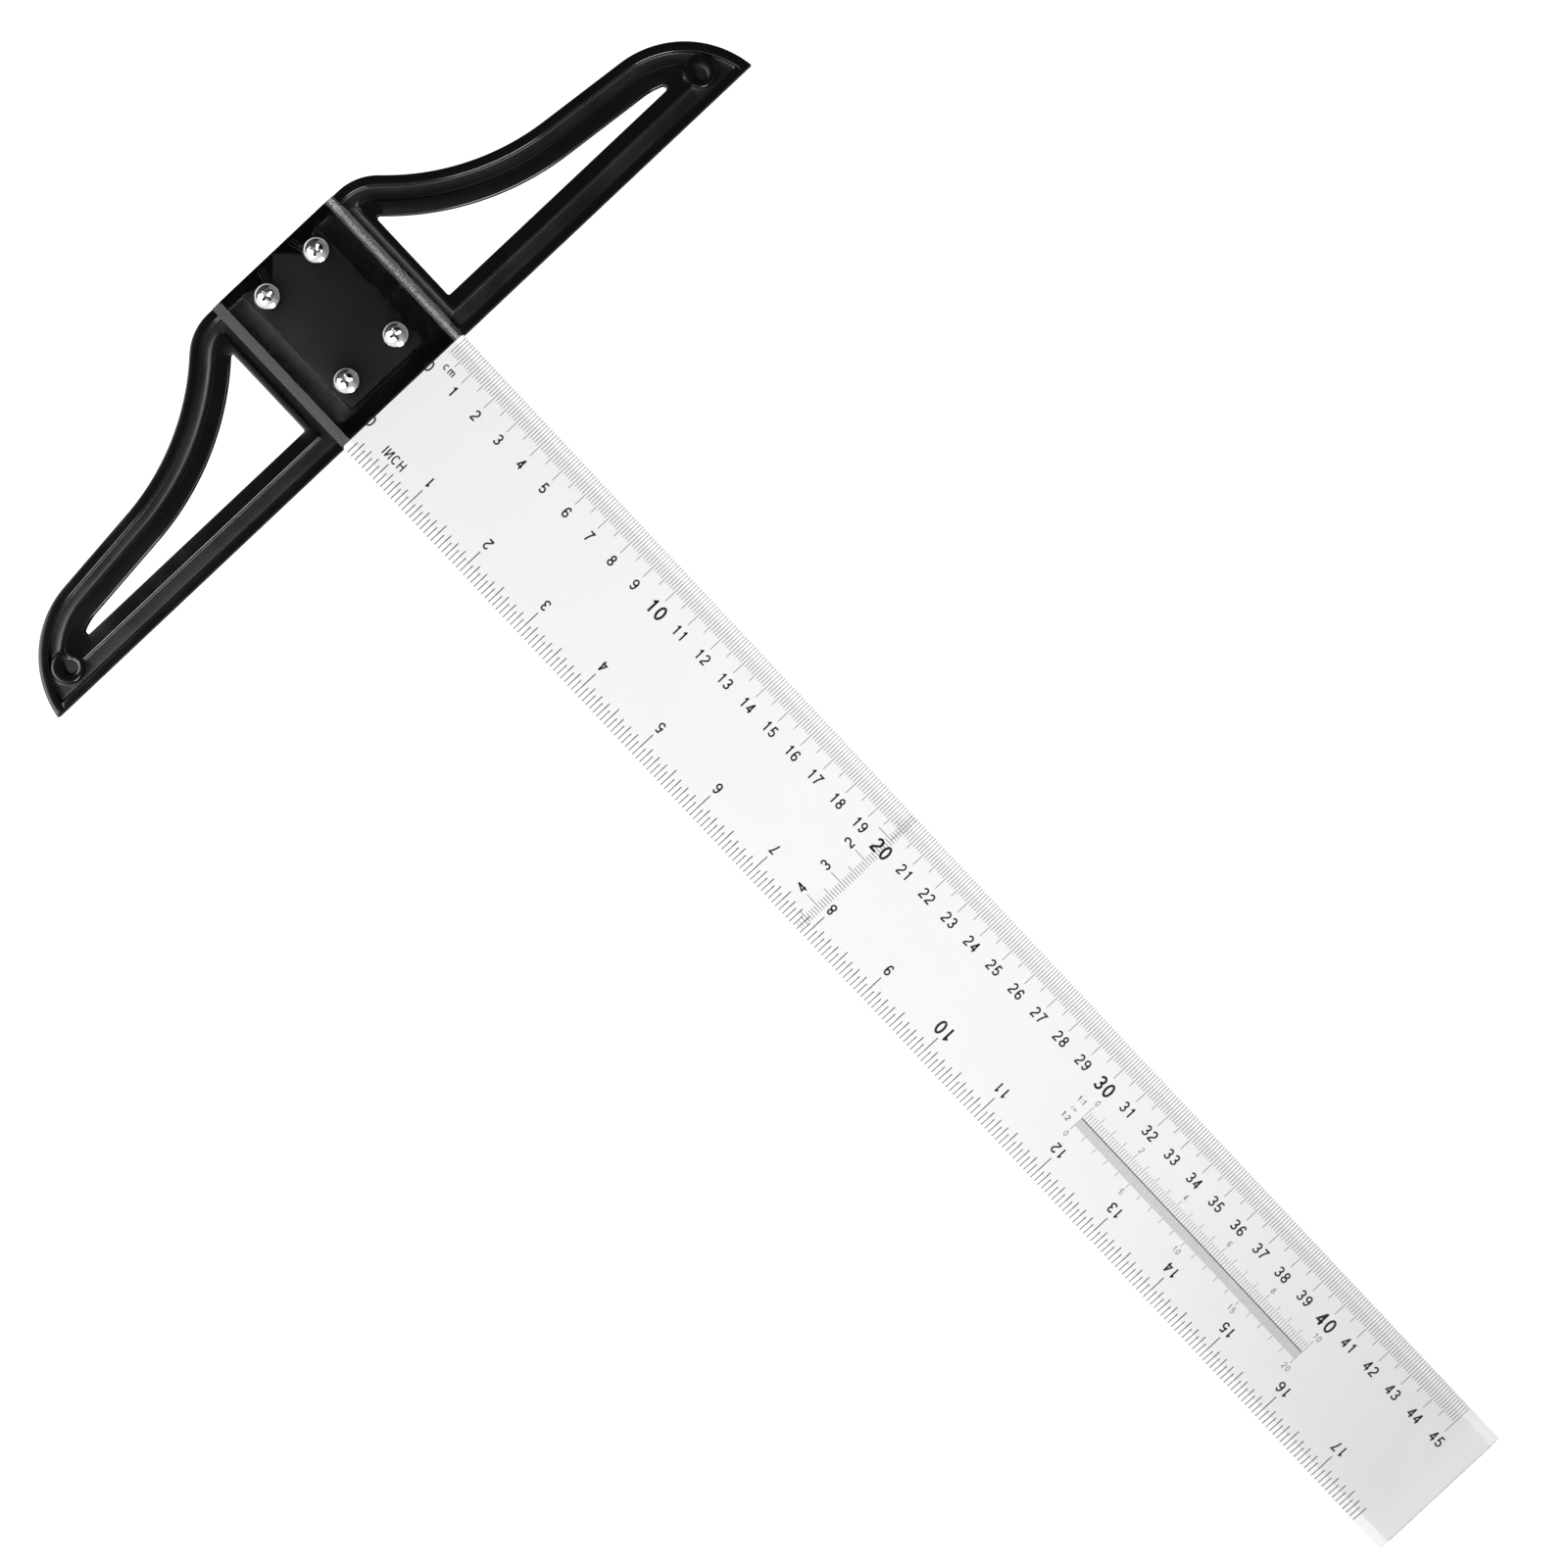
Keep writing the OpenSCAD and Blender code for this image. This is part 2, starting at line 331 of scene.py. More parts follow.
@dataclass(frozen=True)
class MouldedPolystyrene:
    """Black high-impact polystyrene, injection moulded in a steel tool with four surfaces.

    Polished steel leaves ribs that mirror the light softly. Sparked steel leaves a 0.35 mm grain
    on the floors, which spreads the light and looks greyer. The upright sides are matt, and the
    pad under the blade is dull with a slow waviness.
    """

    ior = 1.5
    flow_mm = 14.0
    less_gloss = 0.06
    more_gloss = 0.04
    bump_mm = 0.05

    name: str
    colour: str
    roughness: float
    grain_mm: float
    grain_depth: float
    specular: float = 0.4

    def make(self) -> bpy.types.Material:
        """Fine noise raises the grain, and slow noise makes the gloss slightly uneven.

        Returns:
            The material.
        """
        material, tree, shader = new_material(self.name)
        place = add_node(tree, "ShaderNodeTexCoord")
        grain = add_node(tree, "ShaderNodeTexNoise",
                         {"Scale": 1 / (self.grain_mm * MM), "Detail": 3.0, "Roughness": 0.6},
                         {"Vector": place.outputs["Object"]})
        flow = add_node(tree, "ShaderNodeTexNoise", {"Scale": 1 / (self.flow_mm * MM), "Detail": 2.0},
                        {"Vector": place.outputs["Object"]})
        gloss = add_node(tree, "ShaderNodeMapRange",
                         {"From Min": 0.3, "From Max": 0.7,
                          "To Min": self.roughness - self.more_gloss,
                          "To Max": self.roughness + self.less_gloss},
                         {"Value": flow.outputs["Fac"]})
        bump = add_node(tree, "ShaderNodeBump",
                        {"Strength": self.grain_depth, "Distance": self.bump_mm * MM},
                        {"Height": grain.outputs["Fac"]})
        tree.links.new(gloss.outputs["Result"], shader.inputs["Roughness"])
        tree.links.new(bump.outputs["Normal"], shader.inputs["Normal"])
        shader.inputs["Base Color"].default_value = linear(self.colour)
        shader.inputs["IOR"].default_value = self.ior
        shader.inputs["Specular IOR Level"].default_value = self.specular
        return material


@dataclass(frozen=True)
class CastAcrylic:
    """Clear cast acrylic: polished faces, or milled ones whose fine tool marks scatter light.

    mark_mm is the pitch of the tool marks; polished faces have a slow waviness instead.
    """

    ior = 1.49
    wave_mm = 6.0
    wave_spread = 0.004
    mark_spread = 0.01

    name: str
    colour: str
    roughness: float
    transmission: float
    mark_mm: float = 0.0

    def make(self) -> bpy.types.Material:
        """Noise makes the gloss uneven, more on milled faces than on polished ones.

        Returns:
            The material.
        """
        material, tree, shader = new_material(self.name)
        place = add_node(tree, "ShaderNodeTexCoord")
        shader.inputs["Base Color"].default_value = linear(self.colour)
        shader.inputs["IOR"].default_value = self.ior
        shader.inputs["Transmission Weight"].default_value = self.transmission
        pitch = self.mark_mm or self.wave_mm
        wave = add_node(tree, "ShaderNodeTexNoise", {"Scale": 1 / (pitch * MM), "Detail": 2.0},
                        {"Vector": place.outputs["Object"]})
        spread = self.mark_spread if self.mark_mm else self.wave_spread
        gloss = add_node(tree, "ShaderNodeMapRange",
                         {"From Min": 0.3, "From Max": 0.7,
                          "To Min": max(self.roughness - spread, 0.0),
                          "To Max": self.roughness + spread}, {"Value": wave.outputs["Fac"]})
        tree.links.new(gloss.outputs["Result"], shader.inputs["Roughness"])
        return material


@dataclass(frozen=True)
class ScreenInk:
    """Black screen-printing ink: flat and slightly uneven in density."""

    mottle_mm = 0.6
    roughness = 0.7

    name: str
    colour: str
    thin_colour: str

    def make(self) -> bpy.types.Material:
        """A fine mottle mixes two blacks.

        Returns:
            The material.
        """
        material, tree, shader = new_material(self.name)
        place = add_node(tree, "ShaderNodeTexCoord")
        mottle = add_node(tree, "ShaderNodeTexNoise", {"Scale": 1 / (self.mottle_mm * MM), "Detail": 2.0},
                          {"Vector": place.outputs["Object"]})
        mix = add_node(tree, "ShaderNodeMix", {"data_type": "RGBA"},
                       {0: mottle.outputs["Fac"]})
        mix.inputs[6].default_value = linear(self.colour)
        mix.inputs[7].default_value = linear(self.thin_colour)
        tree.links.new(mix.outputs[2], shader.inputs["Base Color"])
        shader.inputs["Roughness"].default_value = self.roughness
        return material


@dataclass(frozen=True)
class PlatedSteel:
    """Cold-headed steel with bright plating: a soft mirror with fine rolled-in scratches.

    Real scratches are too fine to show here, so scratch_mm is coarser than they are.
    """

    scratch_stretch = (1.0, 0.15, 0.4)
    bump_mm = 0.02

    name: str
    colour: str
    roughness: float
    scratch_mm: float

    def make(self) -> bpy.types.Material:
        """Noise stretched to lines makes scratches in the gloss and the relief.

        Returns:
            The material.
        """
        material, tree, shader = new_material(self.name)
        place = add_node(tree, "ShaderNodeTexCoord")
        stretch = add_node(tree, "ShaderNodeMapping", {"Scale": self.scratch_stretch},
                           {"Vector": place.outputs["Object"]})
        marks = add_node(tree, "ShaderNodeTexNoise",
                         {"Scale": 1 / (self.scratch_mm * MM), "Detail": 4.0},
                         {"Vector": stretch.outputs["Vector"]})
        gloss = add_node(tree, "ShaderNodeMapRange",
                         {"From Min": 0.35, "From Max": 0.7, "To Min": self.roughness * 0.7,
                          "To Max": self.roughness * 1.5}, {"Value": marks.outputs["Fac"]})
        bump = add_node(tree, "ShaderNodeBump", {"Strength": 0.12, "Distance": self.bump_mm * MM},
                        {"Height": marks.outputs["Fac"]})
        tree.links.new(gloss.outputs["Result"], shader.inputs["Roughness"])
        tree.links.new(bump.outputs["Normal"], shader.inputs["Normal"])
        shader.inputs["Base Color"].default_value = linear(self.colour)
        shader.inputs["Metallic"].default_value = 1.0
        return material


# ---------------------------------------------------------------- head

@dataclass
class Head:
    """The moulded head: rims and ribs over sunk floors, two open wings, a pad for the screws.

    Sizes are in mm. Lengths over all come from the CAD boxes.
    """

    shoulder_gap: float = 2.0
    shoulder_r: float = 17.8
    shoulder_slope: float = 42.7
    shoulder_run: float = 2.5
    hollow_r: float = 79.4
    neck_slope: float = 5.9
    tip_slope: float = 81.6
    arm_w: float = 12.1
    bar_w: float = 11.9
    side_w: float = 4.8
    opening_r: float = 0.7
    opening_tip_r: float = 1.0
    relief: float = 0.85
    relief_inset: float = 1.2
    rim_w: float = 3.0
    bar_rim_w: float = 2.5
    back_rim_w: float = 3.5
    front_rim_w: float = 4.4
    channel_w: float = 1.8
    ring_w: float = 4.4
    side_ring_w: float = 2.0
    floor_depth: float = 2.5
    pad_margin: float = 5.0
    pad_r: float = 1.5
    boss_r: float = 4.9
    boss_back: float = 12.6
    boss_shift: float = 0.5
    pocket_r: float = 2.2
    pocket_reach: float = 4.1
    pocket_lean: float = 8.0
    pocket_off: tuple = (0.8, -0.7)
    nut_af: float = 7.2
    nut_depth: float = 3.6
    nut_draft: float = 0.05
    hole_r: float = 2.3
    outer_round: float = 0.4
    working_round: float = 0.12
    edge_round: float = 0.3
    draft: float = 0.12
    floor_fillet: float = 0.5
    ramp_w: float = 2.3
    ramp_h: float = 1.3
    ramp_grow: float = 3.0
    rib_fall: float = 0.35
    boss_blend: float = 0.6
    row_slip: float = 0.02
    smooth_deg: float = 32.0
    screws: list = field(default_factory=list)

    def __post_init__(self) -> None:
        """Works out the chain of tangent arcs of the curved side.

        The shoulder arc, a straight, the hollow arc, a straight neck and the tip arc meet
        tangent. The neck's length is the one that lets the tip arc end at x = 0 and y = reach.
        """
        lo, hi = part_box("head")
        blade_lo, blade_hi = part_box("blade")
        self.back_x = lo[0] / MM
        self.reach = hi[1] / MM
        self.thick = -lo[2] / MM
        self.half = blade_hi[1] / MM
        a, n = math.radians(self.shoulder_slope), math.radians(self.neck_slope)
        t = math.radians(self.tip_slope)
        self.shoulder_c = np.array([self.back_x + self.shoulder_r, self.half + self.shoulder_gap])
        p0 = self.shoulder_c + self.shoulder_r * np.array([-math.cos(a), math.sin(a)])
        p1 = p0 + self.shoulder_run * np.array([math.sin(a), math.cos(a)])
        self.slope_p0 = p0
        self.hollow_c = p1 + self.hollow_r * np.array([-math.cos(a), math.sin(a)])
        neck0 = self.hollow_c + self.hollow_r * np.array([math.cos(n), -math.sin(n)])
        ratio = (math.sin(t) - math.sin(n)) / (math.cos(n) - math.cos(t))
        run = (self.reach - neck0[1] + ratio * neck0[0]) / (math.cos(n) - ratio * math.sin(n))
        neck1 = neck0 + run * np.array([math.sin(n), math.cos(n)])
        self.tip_r = -neck1[0] / (math.cos(n) - math.cos(t))
        self.tip_c = neck1 + self.tip_r * np.array([math.cos(n), -math.sin(n)])
        self.boss_c = np.array([self.boss_shift + self.ring_w / 2 - self.bar_w,
                                self.reach - self.boss_back])
        self.pocket_c = self.boss_c + np.array(self.pocket_off)
        self.side_y = self.half + self.side_w
        self.floor_back = self.back_x + self.back_rim_w
        self.floor_front = -self.relief - self.front_rim_w
        self.pad_front = self.floor_front - self.channel_w
        self.pad_half = abs(self.screws[0][1]) + self.pad_margin
        self.curve = np.concatenate([[[self.back_x, 0.0]], self.side_path(0, 0)])

    def tip_end(self, d: float, e: float) -> float:
        """Slope, in degrees, where the tip arc set in by d crosses x = -e."""
        return math.degrees(math.acos((self.tip_c[0] + e) / (self.tip_r - d)))

    def side_path(self, d: float, e: float, step: float = 0.8) -> Points:
        """Curved side of a wing: three arcs whose radii change by d, and straights between them.

        Args:
            d: distance in from the real side.
            e: the path ends at x = -e.
            step: distance between points.

        Returns:
            N by 2 positions from the shoulder to the tip.
        """
        deg = math.degrees
        end = self.tip_end(d, e)
        first = arc(self.shoulder_c, self.shoulder_r - d, 180, 180 - self.shoulder_slope,
                    deg(step / self.shoulder_r))
        second = arc(self.hollow_c, self.hollow_r + d, -self.shoulder_slope, -self.neck_slope,
                     deg(step / self.hollow_r))
        third = arc(self.tip_c, self.tip_r - d, 180 - self.neck_slope, 180 - end,
                    deg(step / self.tip_r))
        slope = line(tuple(first[-1]), tuple(second[0]), step)[1:-1]
        neck = line(tuple(second[-1]), tuple(third[0]), step)[1:-1]
        return np.concatenate([first, slope, second, neck, third])

    def outline(self) -> Points:
        """Joins the curved side, the working edge and their mirror images.

        Returns:
            The head's outer loop, with the working edge set back between the wings.
        """
        side = self.side_path(0, 0)
        y0 = self.half - self.relief_inset
        front = np.concatenate([line((0, side[-1][1]), (0, y0 + self.relief), 1.0)[1:],
                                [[-self.relief, y0]]])
        half = np.concatenate([side, front])
        back = line((self.back_x, -side[0][1]), (self.back_x, side[0][1]), 1.0)[1:-1]
        middle = line((-self.relief, y0), (-self.relief, -y0), 1.0)[1:-1]
        return np.concatenate([half, middle, (half * [1, -1])[::-1], back])

    def opening(self) -> Points:
        """Arcs set in by the arm's width, closed by the bar, the side rib and rounded corners.

        Returns:
            The loop of the opening of the wing at positive y.
        """
        inset = self.arm_w + self.opening_tip_r
        line_x = -self.bar_w - self.opening_tip_r
        end = self.tip_end(inset, -line_x)
        q = math.radians(end)
        end_c = self.tip_c + (self.tip_r - inset) * np.array([-math.cos(q), math.sin(q)])
        corner_y = self.side_y + self.opening_r
        s = math.radians(self.shoulder_slope)
        at = float(self.slope_p0 @ [math.cos(s), -math.sin(s)]) + self.arm_w + self.opening_r
        corner_x = (at + math.sin(s) * corner_y) / math.cos(s)
        near = arc([-self.bar_w - self.opening_r, corner_y], self.opening_r, 0, -90, 15)
        far = arc([corner_x, corner_y], self.opening_r, 270, 180 - self.shoulder_slope, 12)
        hollow = arc(self.hollow_c, self.hollow_r + self.arm_w,
                     -self.shoulder_slope, -self.neck_slope, 0.6)
        tip = arc(self.tip_c, self.tip_r - self.arm_w, 180 - self.neck_slope, 180 - end, 0.4)
        cap = arc(end_c, self.opening_tip_r, 180 - end, 0, 15)
        base = line(tuple(near[-1]), tuple(far[0]), 0.8)[1:-1]
        slope = line(tuple(far[-1]), tuple(hollow[0]), 0.8)[1:-1]
        neck = line(tuple(hollow[-1]), tuple(tip[0]), 0.8)[1:-1]
        bar = line(tuple(cap[-1]), tuple(near[0]), 0.8)[1:-1]
        return np.concatenate([near, base, far, slope, hollow, neck, tip, cap, bar])[::-1]

    def pocket(self) -> Points:
        """An arc closed by its two tangents from a corner, like a plectrum.

        Returns:
            The loop of the hollow in the boss at positive y.
        """
        turn = 180 - math.degrees(math.acos(self.pocket_r / self.pocket_reach))
        loop = np.concatenate([[[-self.pocket_reach, 0.0]],
                               arc([0, 0], self.pocket_r, -turn, turn, 8)])
        a = math.radians(-self.pocket_lean)
        spin = np.array([[math.cos(a), -math.sin(a)], [math.sin(a), math.cos(a)]])
        return loop @ spin.T + self.pocket_c

    # The next four methods give distances in mm that grow towards the inside of what they name.
    # All but the first are negative outside it.

    def inset(self, p: Points) -> Points:
        """Distance in from the curved side and the back edge."""
        return distance_to(np.abs(p) * [-1, 1], self.curve)

    def ring(self, p: Points, d: Points) -> Points:
        """Distance into the rib round an opening: the least of those from its three sides.

        Args:
            p: N by 2 positions.
            d: their distances in from the curved side.

        Returns:
            N distances.
        """
        return np.minimum(np.minimum(d - (self.arm_w - self.ring_w),
                                     -p[:, 0] - (self.bar_w - self.ring_w)),
                          np.abs(p[:, 1]) - (self.side_y - self.side_ring_w))

    def floor(self, p: Points, d: Points) -> Points:
        """Distance into the sunk floors from the nearest rim, rib, boss or pad.

        Args:
            p: N by 2 positions.
            d: their distances in from the curved side.

        Returns:
            N distances, the least of the four.
        """
        x, y = p[:, 0], np.abs(p[:, 1])
        rim = np.where(y < self.half, np.minimum(x - self.floor_back, self.floor_front - x),
                       np.minimum(d - self.rim_w, -x - self.bar_rim_w))
        boss = np.hypot(x - self.boss_c[0], y - self.boss_c[1]) - self.boss_r
        qx, qy = x - self.pad_front + self.pad_r, y - self.pad_half + self.pad_r
        pad = (np.hypot(np.maximum(qx, 0), np.maximum(qy, 0))
               + np.minimum(np.maximum(qx, qy), 0) - self.pad_r)
        return np.minimum.reduce([rim, -self.ring(p, d), boss, pad])

    def hex_in(self, p: Points) -> Points:
        """Distance into the nearest nut pocket: half the width less the largest of three slants.

        Args:
            p: N by 2 positions.

        Returns:
            N distances.
        """
        made = []
        for sx, sy in self.screws:
            q = p - [sx, sy]
            slants = [np.abs(q @ [math.cos(a), math.sin(a)])
                      for a in np.radians([30, 90, 150])]
            made.append(self.nut_af / 2 - np.maximum.reduce(slants))
        return np.maximum.reduce(made)

    def wall(self, f: Points, depth: float) -> Points:
        """Height of a wall: a round edge, a straight with draft, a round fillet, the floor.

        Args:
            f: distances into the floor from the wall's top edge.
            depth: depth of the floor.

        Returns:
            Heights, zero on the rims and -depth on the floor.
        """
        edge = -rounded(np.maximum(-f, 0), self.edge_round)
        foot = -depth + rounded(f - self.draft, self.floor_fillet)
        slope = -self.edge_round - np.clip(f / self.draft, 0, 1) * (
            depth - self.edge_round - self.floor_fillet)
        return np.where(f <= 0, edge, np.where(f < self.draft, slope, foot))

    def wall_curves(self, t: float) -> list[Points]:
        """Every rim, rib, boss and pad edge at positive y, moved by t towards the floor.

        Args:
            t: distance into the floor; negative on the rims.

        Returns:
            Paths that run on past their real ends.
        """
        bar_x = -self.bar_rim_w - t
        rib_x = t - self.bar_w + self.ring_w
        rib_y = self.side_y - self.side_ring_w - t
        back, front = self.floor_back + t, self.floor_front - t
        pad_x, pad_y = self.pad_front + t, self.pad_half + t
        corner = (self.pad_front - self.pad_r, self.pad_half - self.pad_r)
        curves = [self.side_path(self.rim_w + t, 0.3),
                  self.side_path(self.arm_w - self.ring_w - t, 2.0),
                  line((bar_x, self.half + 0.05), (bar_x, self.reach)),
                  line((rib_x, rib_y), (rib_x, self.reach)),
                  line((self.back_x + 1, rib_y), (-1, rib_y)),
                  arc(self.boss_c, self.boss_r + t, 0, 360, 6),
                  line((back, 0), (back, self.half - 0.05)),
                  line((front, 0), (front, self.half - 0.05)),
                  line((pad_x, 0), (pad_x, corner[1])),
                  line((self.back_x + 1, pad_y), (corner[0], pad_y))]
        if self.pad_r + t > 0:
            curves.append(arc(corner, self.pad_r + t, 0, 90, 15))
        return curves

    def floor_rows(self) -> list[Points]:
        """The walls and fillets of the floors, the arm's ramp, and the step beside the blade.

        Returns:
            Rows at positive y.
        """
        made: list[Points] = []
        for t in (-self.edge_round, -0.19, -0.09, -0.02, 0.02, self.draft, 0.2, 0.36,
                  self.draft + self.floor_fillet):
            for path in self.wall_curves(t):
                off = np.abs(self.floor(path, self.inset(path)) - t)
                made += runs(path, off < self.row_slip)
        for share in (1.0, 0.75, 0.5, 0.25):
            path = self.side_path(self.arm_w - self.ring_w - self.ramp_w * share, 4.0)
            on_floor = self.floor(path, self.inset(path)) > 0.7
            made += runs(path, on_floor & (path[:, 1] > self.half + 0.4))
        for y in (self.half - 0.03, self.half + 0.03):
            for x0, x1 in ((self.back_x + 2.4, self.floor_back + 1.0),
                           (self.floor_front - 1.0, -self.bar_rim_w + 0.4)):
                made.append(line((x0, y), (x1, y), 0.2))
        return made

    def edge_rows(self) -> list[Points]:
        """The rounding of the outer edge and of the openings, and the crease of the rib tops.

        Returns:
            Rows at positive y.
        """
        made: list[Points] = []
        for t in (0.05, self.working_round, 0.25, self.outer_round):
            back, front = self.back_x + t, -self.relief - t
            made.append(self.side_path(t, t))
            made.append(line((-t, self.half + 0.4), (-t, self.reach - 0.9 - 4 * t)))
            made.append(line((back, 0), (back, self.half + 1.9)))
            made.append(line((front, 0), (front, self.half - 1.5)))
        opening = self.opening()
        step = np.roll(opening, -1, axis=0) - np.roll(opening, 1, axis=0)
        normal = np.stack([step[:, 1], -step[:, 0]], axis=1) / np.hypot(*step.T)[:, None]
        for t in (0.08, 0.2, 0.4):
            moved = opening + normal * t
            if np.mean(inside(moved, opening)) > 0.5:
                moved = opening - normal * t
            keep = np.abs(distance_to(moved, opening, True) - t) < 0.01
            made += runs(np.concatenate([moved, moved[:1]]), np.concatenate([keep, keep[:1]]))
        mitre = self.mitre()
        on_rib = self.floor(mitre, self.inset(mitre)) < -0.4
        clear = ~inside(mitre, opening) & (distance_to(mitre, opening, True) > 0.45)
        off_boss = np.hypot(*(mitre - self.boss_c).T) > self.boss_r + 0.1
        return made + runs(mitre, on_rib & clear & off_boss)

    def pocket_rows(self) -> list[Points]:
        """The walls of the hollow in a boss, and of the nut pockets below.

        Returns:
            Rows at positive y.
        """
        loop = self.pocket()
        closed = np.concatenate([loop, loop[:1]])
        made = []
        for t in (-0.25, -0.1, 0.0, self.draft, 0.4):
            share = t / self.pocket_r
            made.append(closed * (1 - share) + self.pocket_c * share)
        for sx, sy in [place for place in self.screws if place[1] > 0]:
            for t in (-0.15, 0.0, self.nut_draft):
                r = (self.nut_af / 2 - t) / math.cos(math.radians(30))
                corners = arc([sx, sy], r, 0, 360, 60)
                made += [line(tuple(a), tuple(b)) for a, b in zip(corners[:-1], corners[1:])]
        return made

    def rows(self) -> list[Points]:
        """The rows that the mesh follows: each wall, fillet, ramp and crease."""
        return mirrored(self.floor_rows() + self.edge_rows() + self.pocket_rows())

    def mitre(self) -> Points:
        """The crease of a rib: points as far in from its curved side as from its straight side.

        Returns:
            N by 2 positions, from the rib's edge inwards.
        """
        made = []
        for k in np.linspace(0, self.ring_w, 30):
            path = self.side_path(self.arm_w - self.ring_w + k, 1.0, 0.3)
            gap = -path[:, 0] - (self.bar_w - self.ring_w) - k
            hit = np.flatnonzero((gap[:-1] > 0) & (gap[1:] <= 0))
            for i in hit:
                s = gap[i] / (gap[i] - gap[i + 1])
                made.append(path[i] + (path[i + 1] - path[i]) * s)
        return np.array(made)

    def heights(self, p: Points) -> tuple[Points, Points]:
        """Rims at zero, floors behind their walls, ribs that fall to the opening, round edges.

        Each height is the lowest of the surfaces that meet there. A ramp rises with the square
        of the nearness to the rib along the arm's floor.

        Args:
            p: N by 2 positions.

        Returns:
            Heights of the top and of the underside, in mm.
        """
        d = self.inset(p)
        x, y = p[:, 0], np.abs(p[:, 1])
        folded = np.column_stack([x, y])
        opening, hollow = self.opening(), self.pocket()
        f = self.floor(p, d)
        in_hollow = np.where(inside(folded, hollow), 1, -1) * distance_to(folded, hollow, True)
        front = np.where(y < self.half - self.relief_inset, -x - self.relief, -x)
        straight = np.where(y > self.half, -x, np.maximum(front, 0))
        outer = np.minimum(d, straight)
        to_opening = distance_to(folded, opening, True)
        edge = -rounded(d, self.outer_round) * (y > self.half - 1.0)
        edge = np.minimum(edge, -rounded(outer, self.working_round))
        lip = -rounded(to_opening, self.edge_round)
        ring = self.ring(p, d)
        off_boss = np.hypot(x - self.boss_c[0], y - self.boss_c[1]) - self.boss_r
        fall = -self.rib_fall * np.clip(ring / self.ring_w, 0, 1)
        fall = fall * np.clip(off_boss / self.boss_blend, 0, 1)
        near = np.clip(1 + ring / self.ramp_w, 0, 1)
        ramp = self.ramp_h * near ** 2 * np.clip((-x - d) / self.ramp_grow, 0, 1)
        ramp = ramp * (y > self.half + 0.5) * (off_boss > 0)
        ramp = ramp * np.clip((y - self.side_y + self.side_ring_w) / 2.0, 0, 1)
        low = self.wall(np.maximum(f, in_hollow), self.floor_depth)
        top = np.where(f > self.draft, np.minimum(low + ramp, 0), low)
        dip = np.where(in_hollow > -self.edge_round, low, 0)
        top = np.where(f < -self.edge_round, fall + dip, top)
        top = np.minimum(top, np.minimum(edge, lip + fall))
        into_nut = np.clip(self.hex_in(p) / self.nut_draft, 0, 1) * self.nut_depth
        under_floor = -self.wall(f, self.floor_depth)
        lower_edge = np.maximum(rounded(outer, self.edge_round),
                                rounded(to_opening, self.edge_round))
        under = -self.thick + np.maximum.reduce([under_floor, into_nut, lower_edge])
        return top, under

    def build(self, rib: bpy.types.Material, sunk: bpy.types.Material, side: bpy.types.Material,
              dull: bpy.types.Material) -> bpy.types.Object:
        """Meshes the head and gives its floors, upright sides and pad their own finishes.

        Args:
            rib: finish of the rims, ribs and bosses.
            sunk: finish of the floors.
            side: finish of the upright outer faces.
            dull: finish of the pad.

        Returns:
            The head's object.
        """
        opening = self.opening()
        holes = [opening, opening * [1, -1]]
        holes += [arc([sx, sy], self.hole_r, 0, 360, 10)[:-1] for sx, sy in self.screws]
        body = Relief([self.outline(), *holes], self.rows())
        verts, faces = body.solid(*self.heights(body.xy))
        x, y, z = verts[faces].mean(axis=1).T / MM
        y = np.abs(y)
        flat = np.column_stack([x, y])
        sunk_in = self.floor(flat, self.inset(flat)) > self.row_slip
        sunk_in |= inside(flat, self.pocket())
        below_rim = (z < -0.4) | ((z < -1.9) & (z > self.floor_depth - self.thick - 0.1))
        slots = np.where(sunk_in & below_rim, HeadSlot.FLOOR, HeadSlot.RIB)
        slots[len(body.tris) * 2:] = HeadSlot.SIDE
        on_pad = (y < self.pad_half - 0.1) & (x < self.pad_front - 0.1) & (x > self.floor_back)
        slots[on_pad & (z > -0.2)] = HeadSlot.PAD
        obj = mesh_object("head_moulding", verts, faces, rib, self.smooth_deg, slots,
                          (sunk, side, dull))
        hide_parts("head")
        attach(obj, "square")
        return obj


# ---------------------------------------------------------------- blade and print

